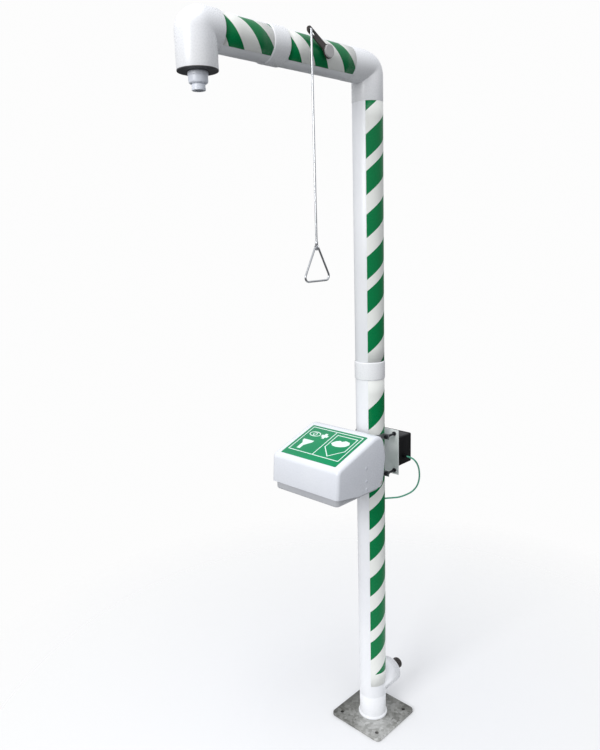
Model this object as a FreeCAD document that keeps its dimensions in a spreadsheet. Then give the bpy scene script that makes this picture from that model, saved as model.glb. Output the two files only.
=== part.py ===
import FreeCAD, Part
import math
import os
import Sketcher

# Emergency body shower with a lidded eyewash on one jacketed column.
# Millimetres, +Z up; the origin is on the floor, on the column's axis. The arm and the eyewash
# project towards -Y, the inlet and the junction box towards +Y, the pull lever is on the +X side.

doc = FreeCAD.newDocument("safety_shower")
sheet = doc.addObject("Spreadsheet::Sheet", "sizes")

DRIVING_SIZES = [
    # overall
    ("arm_height", 2350),
    ("arm_reach", 680),
    ("eyewash_level", 1035),
    # jacket and what joins it
    ("jacket_od", 100),
    ("jacket_wall", 2),
    ("bend_inner_radius", 2),
    ("head_step", 3),
    ("head_inner_radius", 1),
    ("head_drop", 100),
    ("column_joint_rise", 338),
    ("bend_column_leg", 51),
    ("bend_arm_leg", 60),
    ("arm_joint", 424),
    ("band_width", 62),
    ("band_thick", 2.2),
    ("cover_gap", 0.3),
    ("foot_joint_drop", 35),
    ("foot_lip_step", 5),
    ("foot_lip_height", 8),
    # base plate
    ("base_size", 230),
    ("base_thick", 10),
    ("base_corner", 18),
    ("floor_bolt_spacing", 168),
    ("floor_bolt_hole", 14),
    ("post_ring_wall", 8.7),
    ("post_ring_height", 34),
    # pipework
    ("pipe_od", 42.4),
    ("pipe_wall", 3.2),
    ("fitting_wall", 5.8),
    ("fitting_reach", 42),
    ("socket_depth", 16),
    ("thread_gap", 0.1),
    ("inlet_level", 135),
    ("inlet_branch_end", 112),
    ("inlet_stub", 49),
    ("inlet_thread_od", 41.9),
    ("end_cap_thick", 4),
    # insulation and trace heating
    ("insulation_gap", 2),
    ("heater_od", 6),
    ("heater_gap", 1),
    ("inner_gap", 0.4),
    # shower valve and its lever
    ("valve_offset", 251),
    ("valve_ball_od", 38),
    ("valve_stem_od", 12),
    ("valve_half_length", 40),
    ("running_gap", 0.05),
    ("ball_gap", 0.3),
    ("lever_gap", 6),
    ("lever_thick", 4),
    ("lever_hub_od", 39),
    ("lever_width", 19),
    ("lever_eye", 88.5),
    ("lever_slot", 20),
    ("lever_rise", 30.3),
    ("hook_pin_od", 7),
    ("hub_cap_thick", 6),
    # pull rod and handle
    ("pull_rod_od", 7),
    ("handle_pivot_level", 1801),
    ("handle_bottom_level", 1700),
    ("handle_wire", 6),
    ("handle_width", 118),
    ("handle_top_width", 14),
    ("handle_eye_thick", 4),
    # shower nozzle
    ("seal_thick", 3),
    ("nozzle_od", 52),
    ("nozzle_tip_od", 36),
    ("nozzle_step_drop", 30),
    ("outlet_drop", 48),
    # warning tape
    ("tape_thick", 0.3),
    ("tape_lift", 0.05),
    ("tape_width", 88),
    ("column_tape_start", 31),
    ("arm_tape_middle", 1),
    ("tape_above_inlet", 16),
    # clamps, plate and junction box
    ("clamp_spacing", 137),
    ("clamp_drop", 35),
    ("strap_width", 20),
    ("strap_thick", 2.5),
    ("strap_ear", 12),
    ("clamp_bolt_od", 8),
    ("clamp_bolt_gap", 14),
    ("nut_across", 13),
    ("nut_thick", 6.5),
    ("plate_gap", 7),
    ("plate_thick", 3),
    ("plate_side_margin", 16),
    ("plate_low_margin", 15),
    ("plate_high_margin", 13),
    ("box_width", 158),
    ("box_depth", 66),
    ("box_low_gap", 16),
    ("box_high_gap", 13),
    ("box_wall", 3),
    ("box_cover_thick", 11),
    ("box_corner", 5),
    ("gland_od", 16),
    ("gland_length", 15),
    ("gland_rise", 33),
    ("gland_depth", 30),
    ("lead_od", 6),
    # eyewash bowl
    ("bowl_width", 276),
    ("bowl_front", 343),
    ("bowl_back", 126),
    ("bowl_feed_rise", 32),
    ("bowl_height", 59),
    ("bowl_wall", 3),
    ("bowl_corner", 16),
    ("drain_od", 40),
    ("strainer_od", 50),
    ("strainer_thick", 2),
    # eyewash lid
    ("lid_side_gap", 5),
    ("lid_wall", 3),
    ("lid_front_gap", 8),
    ("lid_front_overlap", 30),
    ("lid_front_height", 94),
    ("lid_back_gap", 19),
    ("lid_cheek_drop", 47),
    ("lid_slope", 18.65),
    ("lid_back_radius", 42),
    ("lid_nose_radius", 22),
    ("lid_side_radius", 12),
    ("hinge_pin_od", 8),
    ("post_thick", 4),
    ("screw_cap_od", 12),
    ("screw_cap_thick", 1.5),
    # sign on the lid
    ("sign_side_margin", 26),
    ("sign_front_margin", 23),
    ("sign_back_margin", 58),
    ("sign_thick", 0.6),
    # eyewash pipework
    ("feed_od", 21.3),
    ("feed_wall", 2.6),
    ("feed_valve_offset", 175),
    ("feed_valve_od", 36),
    ("feed_ball_od", 24),
    ("feed_stem_od", 10),
    ("crank_plane", 46),
    ("crank_length", 30),
    ("crank_pin_od", 6),
    ("crank_thick", 4),
    ("link_width", 14),
    ("manifold_offset", 240),
    ("manifold_od", 24),
    ("spray_spacing", 110),
    ("spray_cup_od", 44),
    ("spray_rise", 26),
]


class Size:
    """A length: its number now, and the expression that keeps it bound to the sheet."""

    def __init__(self, number, text):
        self.number = number
        self.text = text

    def joined(self, other, sign, number):
        other_text = other.text if isinstance(other, Size) else repr(float(other))
        return Size(number, "(%s %s %s)" % (self.text, sign, other_text))

    def __add__(self, other):
        return self.joined(other, "+", self.number + plain(other))

    def __sub__(self, other):
        return self.joined(other, "-", self.number - plain(other))

    def __mul__(self, other):
        return self.joined(other, "*", self.number * plain(other))

    def __truediv__(self, other):
        return self.joined(other, "/", self.number / plain(other))

    def __rsub__(self, other):
        return fixed(other) - self

    def __neg__(self):
        return self * -1


def plain(value):
    """The number behind a Size, or the number itself."""
    return value.number if isinstance(value, Size) else float(value)


def fixed(value):
    """A plain number as a Size."""
    return value if isinstance(value, Size) else Size(float(value), repr(float(value)))


def smaller(first, second):
    first, second = fixed(first), fixed(second)
    return Size(min(first.number, second.number), "min(%s; %s)" % (first.text, second.text))


def cosine(angle):
    return Size(math.cos(math.radians(angle.number)), "cos(%s)" % angle.text)


def sine(angle):
    return Size(math.sin(math.radians(angle.number)), "sin(%s)" % angle.text)


class Sizes:
    """Every driving size by name."""


size = Sizes()
for row, (alias, value) in enumerate(DRIVING_SIZES, start=1):
    sheet.set("A%d" % row, alias)
    sheet.set("B%d" % row, str(value))
    sheet.setAlias("B%d" % row, alias)
    setattr(size, alias, Size(float(value), "sizes." + alias))
doc.recompute()

# Sizes and places that follow from the driving ones.
size.jacket_bend = size.jacket_od / 2 + size.bend_inner_radius
size.bend_joint = size.arm_height - size.jacket_bend - size.bend_column_leg
size.bend_end = size.jacket_bend + size.bend_arm_leg
size.head_od = size.jacket_od + size.head_step * 2
size.head_bottom = size.arm_height - size.head_drop
size.nozzle_step = size.head_bottom - size.nozzle_step_drop
size.outlet_level = size.head_bottom - size.outlet_drop
size.column_joint = size.eyewash_level + size.column_joint_rise
size.foot_joint = size.inlet_level - size.foot_joint_drop
size.tape_bottom = size.inlet_level + size.tape_above_inlet
size.foot_lip_od = size.jacket_od + size.foot_lip_step * 2
size.fitting_od = size.pipe_od + size.fitting_wall * 2
size.post_ring_od = size.pipe_od + size.thread_gap * 2 + size.post_ring_wall * 2
size.heater_offset = (size.fitting_od + size.heater_od) / 2 + size.heater_gap
size.insulation_bore = size.heater_offset * 2 + size.heater_od + size.insulation_gap * 2
size.lever_plane = size.jacket_od / 2 + size.lever_gap
size.clamp_lower = size.eyewash_level - size.clamp_drop
size.clamp_upper = size.clamp_lower + size.clamp_spacing
size.clamp_bolt_offset = size.jacket_od / 2 + size.clamp_bolt_gap
size.plate_face = size.jacket_od / 2 + size.plate_gap
size.plate_width = (size.clamp_bolt_offset + size.plate_side_margin) * 2
size.plate_bottom = size.clamp_lower - size.plate_low_margin
size.plate_top = size.clamp_upper + size.plate_high_margin
size.box_bottom = size.clamp_lower + size.box_low_gap
size.box_top = size.clamp_upper - size.box_high_gap
size.bowl_bottom = size.eyewash_level - size.bowl_feed_rise
size.bowl_rim = size.bowl_bottom + size.bowl_height
size.spray_top = size.bowl_rim + size.spray_rise
size.lid_width = size.bowl_width + (size.lid_side_gap + size.lid_wall) * 2
size.lid_front = size.bowl_front + size.lid_front_gap
size.lid_front_top = size.bowl_front
size.lid_back = size.bowl_back - size.lid_back_gap
size.lid_front_bottom_level = size.bowl_rim - size.lid_front_overlap
size.lid_front_top_level = size.lid_front_bottom_level + size.lid_front_height
size.lid_cheek_bottom = size.bowl_rim - size.lid_cheek_drop
size.sign_width = size.lid_width - size.sign_side_margin * 2
size.sign_run = size.lid_front - size.sign_front_margin - size.lid_back - size.sign_back_margin
size.sign_length = size.sign_run / cosine(size.lid_slope)

# ---------------------------------------------------------------- small modelling tools

NODES = []
X = FreeCAD.Vector(1, 0, 0)
Y = FreeCAD.Vector(0, 1, 0)
Z = FreeCAD.Vector(0, 0, 1)
# Each turn takes a primitive's own +Z to the named direction.
TURNS = {
    "+z": FreeCAD.Rotation(),
    "-z": FreeCAD.Rotation(X, 180),
    "+x": FreeCAD.Rotation(Y, 90),
    "-x": FreeCAD.Rotation(Y, -90),
    "+y": FreeCAD.Rotation(X, -90),
    "-y": FreeCAD.Rotation(X, 90),
}
STEPS = {"+z": (0, 0, 1), "-z": (0, 0, -1), "+x": (1, 0, 0), "-x": (-1, 0, 0), "+y": (0, 1, 0), "-y": (0, -1, 0)}


def bind(thing, field, value):
    """Sets one property, by expression where it comes from the sheet."""
    if isinstance(value, Size):
        thing.setExpression(field, value.text)
    else:
        setattr(thing, field, value)


def place(thing, at, turn=None):
    """Turns the object, then binds its position."""
    numbers = FreeCAD.Vector(*[plain(value) for value in at])
    thing.Placement = FreeCAD.Placement(numbers, turn or FreeCAD.Rotation())
    for axis, value in zip("xyz", at):
        if isinstance(value, Size):
            thing.setExpression("Placement.Base." + axis, value.text)


def make(kind, label):
    thing = doc.addObject(kind, label)
    thing.Label = label
    return thing


def node(thing):
    """Marks an object as a sub-part that gets its own file."""
    NODES.append(thing)
    return thing


def rod(label, diameter, length, at=(0, 0, 0), way="+z", arc=360):
    thing = make("Part::Cylinder", label)
    bind(thing, "Radius", fixed(diameter) / 2)
    bind(thing, "Height", fixed(length))
    bind(thing, "Angle", fixed(arc))
    place(thing, at, TURNS[way])
    return thing


def ball(label, diameter, at):
    """A sphere turned so that its seam lies between the directions that bores take."""
    thing = make("Part::Sphere", label)
    bind(thing, "Radius", fixed(diameter) / 2)
    place(thing, at, FreeCAD.Rotation(Z, 45))
    return thing


def block(label, low, high):
    """A box between two corners."""
    thing = make("Part::Box", label)
    for field, start, end in zip(("Length", "Width", "Height"), low, high):
        bind(thing, field, fixed(end) - start)
    place(thing, low)
    return thing


def cut(label, base, *tools):
    """The base less every tool."""
    for number, tool in enumerate(tools):
        name = label if number == len(tools) - 1 else "%s_cut_%d" % (label, number)
        result = make("Part::Cut", name)
        result.Base = base
        result.Tool = tool
        base = result
    return base


def join(label, *pieces):
    result = make("Part::MultiFuse", label)
    result.Shapes = list(pieces)
    result.Refine = True
    return result


def group(label, pieces):
    """Identical separate solids that share one file."""
    result = make("Part::Compound", label)
    result.Links = list(pieces)
    return result


def tube(label, outer, inner, length, at=(0, 0, 0), way="+z"):
    outside = rod(label + "_outside", outer, length, at, way)
    inside = rod(label + "_inside", inner, length, at, way)
    return cut(label, outside, inside)


def body(label, at=(0, 0, 0), turn=None):
    thing = make("PartDesign::Body", label)
    place(thing, at, turn)
    return thing


def sketch(owner, plane, offset=0):
    """A sketch on one of the body's own origin planes, lifted along the plane's normal."""
    thing = owner.newObject("Sketcher::SketchObject", owner.Label + "_sketch")
    thing.AttachmentSupport = [(find_plane(owner, plane), "")]
    thing.MapMode = "FlatFace"
    thing.AttachmentOffset = FreeCAD.Placement(FreeCAD.Vector(0, 0, plain(offset)), FreeCAD.Rotation())
    if isinstance(offset, Size):
        thing.setExpression("AttachmentOffset.Base.z", offset.text)
    return thing


def find_plane(owner, plane):
    return [feature for feature in owner.Origin.OriginFeatures if feature.Role == plane + "_Plane"][0]


def pin_point(drawing, geometry, end, point):
    """Holds a sketch point at its two bound distances from the sketch's origin."""
    for kind, value in zip(("DistanceX", "DistanceY"), point):
        index = drawing.addConstraint(Sketcher.Constraint(kind, -1, 1, geometry, end, plain(value)))
        if isinstance(value, Size):
            drawing.setExpression("Constraints[%d]" % index, value.text)


def vector(point):
    return FreeCAD.Vector(plain(point[0]), plain(point[1]), 0)


def outline(drawing, points):
    """A closed outline of straight sides."""
    first = drawing.GeometryCount
    count = len(points)
    for number, point in enumerate(points):
        following = points[(number + 1) % count]
        drawing.addGeometry(Part.LineSegment(vector(point), vector(following)))
    for number, point in enumerate(points):
        following = first + (number + 1) % count
        drawing.addConstraint(Sketcher.Constraint("Coincident", first + number, 2, following, 1))
        pin_point(drawing, first + number, 1, point)


def rectangle(drawing, low, high):
    outline(drawing, [low, (high[0], low[1]), high, (low[0], high[1])])


def circle(drawing, centre, diameter):
    radius = fixed(diameter) / 2
    shape = Part.Circle(vector(centre), FreeCAD.Vector(0, 0, 1), radius.number)
    number = drawing.addGeometry(shape)
    pin_point(drawing, number, 3, centre)
    index = drawing.addConstraint(Sketcher.Constraint("Radius", number, radius.number))
    drawing.setExpression("Constraints[%d]" % index, radius.text)


def bent_path(drawing, start, corner_in, corner_out, end, centre_x):
    """A straight run, a quarter bend and a second straight run."""
    middle = FreeCAD.Vector(plain(centre_x), plain(corner_in[1]), 0)
    radius = (vector(corner_in) - middle).Length
    first = vector(corner_in) - middle
    last = vector(corner_out) - middle
    turn = math.atan2(first.y, first.x), math.atan2(last.y, last.x)
    clockwise = (turn[1] - turn[0]) % (2 * math.pi) > math.pi
    low, high = (turn[1], turn[0]) if clockwise else turn
    arc_start, arc_end = (2, 1) if clockwise else (1, 2)
    drawing.addGeometry(Part.LineSegment(vector(start), vector(corner_in)))
    drawing.addGeometry(Part.ArcOfCircle(Part.Circle(middle, FreeCAD.Vector(0, 0, 1), radius), low, high))
    drawing.addGeometry(Part.LineSegment(vector(corner_out), vector(end)))
    drawing.addConstraint(Sketcher.Constraint("Coincident", 0, 2, 1, arc_start))
    drawing.addConstraint(Sketcher.Constraint("Coincident", 1, arc_end, 2, 1))
    pin_point(drawing, 0, 1, start)
    pin_point(drawing, 0, 2, corner_in)
    pin_point(drawing, 2, 1, corner_out)
    pin_point(drawing, 2, 2, end)
    index = drawing.addConstraint(Sketcher.Constraint("DistanceX", -1, 1, 1, 3, plain(centre_x)))
    drawing.setExpression("Constraints[%d]" % index, fixed(centre_x).text)


def pad(owner, drawing, length, both_ways=False, backwards=False):
    feature = owner.newObject("PartDesign::Pad", owner.Label + "_pad")
    feature.Profile = drawing
    bind(feature, "Length", fixed(length))
    feature.Midplane = both_ways
    feature.Reversed = backwards
    doc.recompute()
    return feature


def pocket(owner, drawing):
    """Cuts the sketch right through, both ways."""
    feature = owner.newObject("PartDesign::Pocket", owner.Label + "_pocket")
    feature.Profile = drawing
    feature.Type = "ThroughAll"
    feature.Midplane = True
    doc.recompute()
    return feature


def sweep(owner, profile, path):
    feature = owner.newObject("PartDesign::AdditivePipe", owner.Label + "_pipe")
    feature.Profile = profile
    feature.Spine = path
    doc.recompute()
    return feature


def edges_where(feature, test):
    return ["Edge%d" % number for number, edge in enumerate(feature.Shape.Edges, start=1) if test(edge)]


def faces_where(feature, test):
    return ["Face%d" % number for number, face in enumerate(feature.Shape.Faces, start=1) if test(face)]


def fillet(owner, base, radius, test):
    feature = owner.newObject("PartDesign::Fillet", owner.Label + "_fillet")
    feature.Base = (base, edges_where(base, test))
    bind(feature, "Radius", fixed(radius))
    doc.recompute()
    return feature


def hollow(owner, base, wall, test):
    """Leaves a wall inside the outer surface, open at the faces that pass the test."""
    feature = owner.newObject("PartDesign::Thickness", owner.Label + "_wall")
    feature.Base = (base, faces_where(base, test))
    bind(feature, "Value", fixed(wall))
    feature.Reversed = True
    feature.Join = 0
    doc.recompute()
    return feature


def runs_along(edge, direction):
    ends = edge.Vertexes
    if len(ends) < 2 or edge.Curve.TypeId != "Part::GeomLine":
        return False
    run = ends[1].Point - ends[0].Point
    return abs(run.normalize().dot(direction)) > 0.999


def offset(value, distance, way):
    """A point moved a distance along one of the named directions."""
    return tuple(fixed(start) + distance * step for start, step in zip(value, STEPS[way]))


def turned_rod(label, diameter, length, at, way):
    """A rod whose seam lies between the directions that the other legs of a fitting take."""
    thing = rod(label, diameter, length, at, way)
    place(thing, at, TURNS[way].multiply(FreeCAD.Rotation(Z, 45)))
    return thing


def pipe_fitting(label, centre, ways, outer, reach, socket, depth, bore, knuckle=None):
    """A threaded elbow or tee: one leg for each way, and on an elbow a ball that closes the outside of the turn."""
    legs = [turned_rod("%s_leg_%s" % (label, way[1]), outer, reach, centre, way) for way in ways]
    bores = [turned_rod("%s_bore" % label, bore, fixed(reach) + 1, centre, way) for way in ways]
    if knuckle is not None:
        legs.append(ball(label + "_ball", knuckle, centre))
        bores.append(ball(label + "_hollow", fixed(bore) + 1, centre))
    outside = join(label + "_legs", *legs)
    sockets = [
        turned_rod("%s_socket" % label, socket, fixed(depth) + 1, offset(centre, fixed(reach) - depth, way), way)
        for way in ways
    ]
    return node(cut(label, outside, join(label + "_inside", *(bores + sockets))))


# ---------------------------------------------------------------- base plate and foot

half_base = size.base_size / 2
half_bolts = size.floor_bolt_spacing / 2
socket_bore = size.pipe_od + size.thread_gap * 2
pipe_bore = size.pipe_od - size.pipe_wall * 2

base_plate = body("base_plate")
plate_sketch = sketch(base_plate, "XY")
rectangle(plate_sketch, (-half_base, -half_base), (half_base, half_base))
plate_pad = pad(base_plate, plate_sketch, size.base_thick)
fillet(base_plate, plate_pad, size.base_corner, lambda edge: runs_along(edge, Z))
hole_sketch = sketch(base_plate, "XY")
for side_x in (-1, 1):
    for side_y in (-1, 1):
        circle(hole_sketch, (half_bolts * side_x, half_bolts * side_y), size.floor_bolt_hole)
pocket(base_plate, hole_sketch)
ring_sketch = sketch(base_plate, "XY", size.base_thick)
circle(ring_sketch, (0, 0), size.post_ring_od)
circle(ring_sketch, (0, 0), socket_bore)
pad(base_plate, ring_sketch, size.post_ring_height)
node(base_plate)

foot_pipe_top = size.inlet_level - size.fitting_reach + size.socket_depth
node(tube("foot_pipe", size.pipe_od, pipe_bore, foot_pipe_top - size.base_thick, (0, 0, size.base_thick)))

jacket_bore = size.jacket_od - size.jacket_wall * 2
foot_tube = rod("foot_tube", size.jacket_od, size.foot_joint - size.base_thick, (0, 0, size.base_thick))
foot_lip = rod("foot_lip", size.foot_lip_od, size.foot_lip_height, (0, 0, size.base_thick))
foot_hollow = rod("foot_hollow", jacket_bore, size.foot_joint, (0, 0, 0))
node(cut("foot_collar", join("foot_outside", foot_tube, foot_lip), foot_hollow))

# ---------------------------------------------------------------- main pipework inside the column and arm

main_fitting = (size.fitting_od, size.fitting_reach, socket_bore, size.socket_depth, pipe_bore)
inlet_centre = (0, 0, size.inlet_level)
eyewash_centre = (0, 0, size.eyewash_level)
top_centre = (0, 0, size.arm_height)
head_centre = (0, -size.arm_reach, size.arm_height)
valve_centre = (0, -size.valve_offset, size.arm_height)
grip = size.fitting_reach - size.socket_depth
feed_socket = size.feed_od + size.thread_gap * 2
feed_bore = size.feed_od - size.feed_wall * 2

pipe_fitting("inlet_tee", inlet_centre, ("+z", "-z", "+y"), *main_fitting)

head_bore = size.head_od - size.jacket_wall * 2
head_bend = size.head_od / 2 + size.head_inner_radius


def knuckle_inside(bend, bore):
    """The ball of an elbow that stays clear of the jacket's bend, which turns more tightly than the pipe."""
    room = bore - bend * (2 * (math.sqrt(2) - 1)) - size.inner_gap * 2
    return smaller(size.fitting_od - 1, room)


pipe_fitting("top_elbow", top_centre, ("-z", "-y"), *main_fitting, knuckle_inside(size.jacket_bend, jacket_bore))
pipe_fitting("head_elbow", head_centre, ("-z", "+y"), *main_fitting, knuckle_inside(head_bend, head_bore))


def main_pipe(label, start, end, at, way):
    """A pipe whose ends stand in the sockets of two fittings."""
    return node(tube(label, size.pipe_od, pipe_bore, end - start, at, way))


main_pipe("riser_lower", size.inlet_level + grip, size.eyewash_level - grip,
          (0, 0, size.inlet_level + grip), "+z")
main_pipe("riser_upper", size.eyewash_level + grip, size.arm_height - grip,
          (0, 0, size.eyewash_level + grip), "+z")
valve_grip = size.valve_half_length - size.socket_depth
main_pipe("arm_pipe_rear", grip, size.valve_offset - valve_grip, (0, -grip, size.arm_height), "-y")
main_pipe("arm_pipe_front", size.valve_offset + valve_grip, size.arm_reach - grip,
          (0, -(size.valve_offset + valve_grip), size.arm_height), "-y")

# The eyewash tee has full-size ends up and down and a smaller one to the front.
tee_outside = join(
    "eyewash_tee_legs",
    ball("eyewash_tee_ball", size.fitting_od, eyewash_centre),
    rod("eyewash_tee_up", size.fitting_od, size.fitting_reach, eyewash_centre, "+z"),
    rod("eyewash_tee_down", size.fitting_od, size.fitting_reach, eyewash_centre, "-z"),
    rod("eyewash_tee_front", size.feed_valve_od, size.fitting_reach, eyewash_centre, "-y"),
)
tee_inside = join(
    "eyewash_tee_inside",
    rod("eyewash_tee_bore", pipe_bore, size.fitting_reach * 2, offset(eyewash_centre, size.fitting_reach, "-z")),
    rod("eyewash_tee_socket_up", socket_bore, size.fitting_reach, offset(eyewash_centre, grip, "+z")),
    rod("eyewash_tee_socket_down", socket_bore, size.fitting_reach, offset(eyewash_centre, grip, "-z"), "-z"),
    rod("eyewash_tee_feed", feed_bore, size.fitting_reach + 1, eyewash_centre, "-y"),
    rod("eyewash_tee_feed_socket", feed_socket, size.fitting_reach, offset(eyewash_centre, grip, "-y"), "-y"),
)
node(cut("eyewash_tee", tee_outside, tee_inside))

cap_face = size.inlet_branch_end + size.end_cap_thick
nipple_end = cap_face + size.inlet_stub
node(cut(
    "inlet_nipple",
    join(
        "inlet_nipple_blank",
        rod("inlet_nipple_pipe", size.pipe_od, cap_face - grip, (0, grip, size.inlet_level), "+y"),
        rod("inlet_nipple_thread", size.inlet_thread_od, size.inlet_stub, (0, cap_face, size.inlet_level), "+y"),
    ),
    rod("inlet_nipple_bore", pipe_bore, nipple_end, (0, 0, size.inlet_level), "+y"),
))

# ---------------------------------------------------------------- jacket

tape_bore = size.jacket_od + size.tape_lift * 2
tape_od = tape_bore + size.tape_thick * 2


def jacket_tube(label, start, end, at, way):
    return tube(label, size.jacket_od, jacket_bore, end - start, at, way)


# Where the earth lead goes back in: an angle from -Y towards +X, and a level.
LEAD_ANGLE = 142
LEAD_LEVEL = 888
LEAD_HOLE_GAP = 0.6
lead_turn = FreeCAD.Rotation(Z, LEAD_ANGLE).multiply(TURNS["-y"])


def lead_hole(label):
    hole = rod(label, size.lead_od + LEAD_HOLE_GAP * 2, size.jacket_od, (0, 0, LEAD_LEVEL))
    hole.Placement = FreeCAD.Placement(FreeCAD.Vector(0, 0, LEAD_LEVEL), lead_turn)
    return hole


branch_hole = size.fitting_od + 6
feed_hole = size.feed_od + 8
node(cut(
    "lower_jacket",
    jacket_tube("lower_jacket_tube", size.foot_joint, size.column_joint, (0, 0, size.foot_joint), "+z"),
    rod("lower_jacket_inlet", branch_hole, size.jacket_od, inlet_centre, "+y"),
    rod("lower_jacket_feed", feed_hole, size.jacket_od, eyewash_centre, "-y"),
    lead_hole("lower_jacket_lead"),
))
node(jacket_tube("upper_jacket", size.column_joint, size.bend_joint, (0, 0, size.column_joint), "+z"))

band_bore = size.jacket_od + size.cover_gap * 2
band_od = band_bore + size.band_thick * 2
half_band = size.band_width / 2
node(group("coupler_bands", [
    tube("column_band", band_od, band_bore, size.band_width, (0, 0, size.column_joint - half_band)),
    tube("arm_band", band_od, band_bore, size.band_width, (0, -(size.arm_joint - half_band), size.arm_height), "-y"),
]))


def jacket_bend(label, diameter, bore, start, straight_end, corner, far_end):
    """A quarter bend: annulus swept up or down the column line and out along the arm line."""
    owner = body(label)
    path = sketch(owner, "YZ")
    bent_path(path, start, straight_end, corner, far_end, corner[0])
    profile = sketch(owner, "XY", start[1])
    for width in (diameter, bore):
        circle(profile, (0, start[0]), width)
    sweep(owner, profile, path)
    return node(owner)


jacket_bend(
    "top_bend_jacket", size.jacket_od, jacket_bore,
    (0, size.bend_joint), (0, size.arm_height - size.jacket_bend),
    (-size.jacket_bend, size.arm_height), (-size.bend_end, size.arm_height),
)
head_end = size.arm_reach - head_bend - 2
jacket_bend(
    "head_elbow_jacket", size.head_od, head_bore,
    (-size.arm_reach, size.head_bottom), (-size.arm_reach, size.arm_height - head_bend),
    (head_bend - size.arm_reach, size.arm_height), (-head_end, size.arm_height),
)

valve_rod_hole = size.valve_stem_od + 8
node(cut(
    "arm_jacket_rear",
    jacket_tube("arm_jacket_rear_tube", size.bend_end, size.arm_joint, (0, -size.bend_end, size.arm_height), "-y"),
    rod("arm_jacket_stem_hole", valve_rod_hole, size.jacket_od, valve_centre, "+x"),
))
node(jacket_tube("arm_jacket_front", size.arm_joint, head_end, (0, -size.arm_joint, size.arm_height), "-y"))

# Branch over the inlet: a stub cut to the round of the column, with a bored cap.
branch = rod("branch_stub", size.jacket_od, size.inlet_branch_end, inlet_centre, "+y")
branch_bore = rod("branch_bore", jacket_bore, size.inlet_branch_end, inlet_centre, "+y")
saddle = rod("branch_saddle", tape_od + size.tape_lift * 2, size.jacket_od * 2,
             (0, 0, size.inlet_level - size.jacket_od))
node(cut("inlet_branch_jacket", branch, branch_bore, saddle))

end_cap = body("inlet_end_cap", (0, size.inlet_branch_end, size.inlet_level), TURNS["+y"])
cap_sketch = sketch(end_cap, "XY")
circle(cap_sketch, (0, 0), size.jacket_od)
cap_pad = pad(end_cap, cap_sketch, size.end_cap_thick)
fillet(end_cap, cap_pad, size.end_cap_thick * 0.7,
       lambda edge: edge.BoundBox.ZMin > cap_pad.Length.Value - 0.1)
cap_hole = sketch(end_cap, "XY")
circle(cap_hole, (0, 0), size.pipe_od + size.inner_gap * 2)
pocket(end_cap, cap_hole)
node(end_cap)

# ---------------------------------------------------------------- insulation and trace heating

foam_od = jacket_bore - size.inner_gap * 2
foam_start = size.base_thick + size.post_ring_height + 6
column_foam = cut(
    "column_foam",
    tube("column_foam_tube", foam_od, size.insulation_bore, size.bend_joint - foam_start, (0, 0, foam_start)),
    rod("column_foam_inlet", branch_hole, size.jacket_od, inlet_centre, "+y"),
    rod("column_foam_feed", feed_hole + 10, size.jacket_od, eyewash_centre, "-y"),
    lead_hole("column_foam_lead"),
)
arm_foam = cut(
    "arm_foam",
    tube("arm_foam_tube", foam_od, size.insulation_bore, head_end - size.bend_end,
         (0, -size.bend_end, size.arm_height), "-y"),
    rod("arm_foam_stem_hole", valve_rod_hole, size.jacket_od, valve_centre, "+x"),
)
node(group("insulation_shells", [column_foam, arm_foam]))

heater = body("heating_cable")
heater_start = size.inlet_level + size.fitting_reach
heater_path = sketch(heater, "YZ", -size.heater_offset)
bent_path(
    heater_path, (0, heater_start), (0, size.arm_height - size.jacket_bend),
    (-size.jacket_bend, size.arm_height), (-(head_end - 20), size.arm_height), -size.jacket_bend,
)
heater_profile = sketch(heater, "XY", heater_start)
circle(heater_profile, (-size.heater_offset, 0), size.heater_od)
sweep(heater, heater_profile, heater_path)
node(heater)

# ---------------------------------------------------------------- shower valve, lever and rod

ball_seat = size.valve_ball_od + size.ball_gap * 2
stem_bore = size.valve_stem_od + size.running_gap * 2
boss_length = size.fitting_od / 2 + 7
valve_start = offset(valve_centre, size.valve_half_length, "+y")
valve_bore = 24
node(cut(
    "shower_valve_body",
    join(
        "shower_valve_outside",
        rod("shower_valve_barrel", size.fitting_od, size.valve_half_length * 2, valve_start, "-y"),
        rod("shower_valve_boss", size.valve_stem_od + 10, boss_length, valve_centre, "+x"),
    ),
    join(
        "shower_valve_inside",
        ball("shower_valve_seat", ball_seat, valve_centre),
        rod("shower_valve_bore", valve_bore, size.valve_half_length * 2, valve_start, "-y"),
        rod("shower_valve_socket_rear", socket_bore, size.socket_depth, valve_start, "-y"),
        rod("shower_valve_socket_front", socket_bore, size.socket_depth,
            offset(valve_centre, size.valve_half_length, "-y"), "+y"),
        rod("shower_valve_stem_bore", stem_bore, boss_length + 1, valve_centre, "+x"),
    ),
))
stem_foot = size.valve_ball_od / 2 - 5
node(cut(
    "shower_valve_ball",
    ball("shower_ball_blank", size.valve_ball_od, valve_centre),
    rod("shower_ball_port", valve_bore, size.valve_ball_od * 2, offset(valve_centre, size.valve_ball_od, "-z")),
    rod("shower_ball_slot", size.valve_stem_od, size.valve_ball_od, offset(valve_centre, stem_foot, "+x"), "+x"),
))
node(rod("shower_valve_stem", size.valve_stem_od, size.lever_plane - stem_foot,
         offset(valve_centre, stem_foot, "+x"), "+x"))

rise = cosine(size.lever_rise), sine(size.lever_rise)
lever_turn = FreeCAD.Rotation(
    FreeCAD.Vector(0, -rise[0].number, rise[1].number),
    FreeCAD.Vector(0, -rise[1].number, -rise[0].number), X, "ZXY")
hub_point = (size.lever_plane, -size.valve_offset, size.arm_height)


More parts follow.
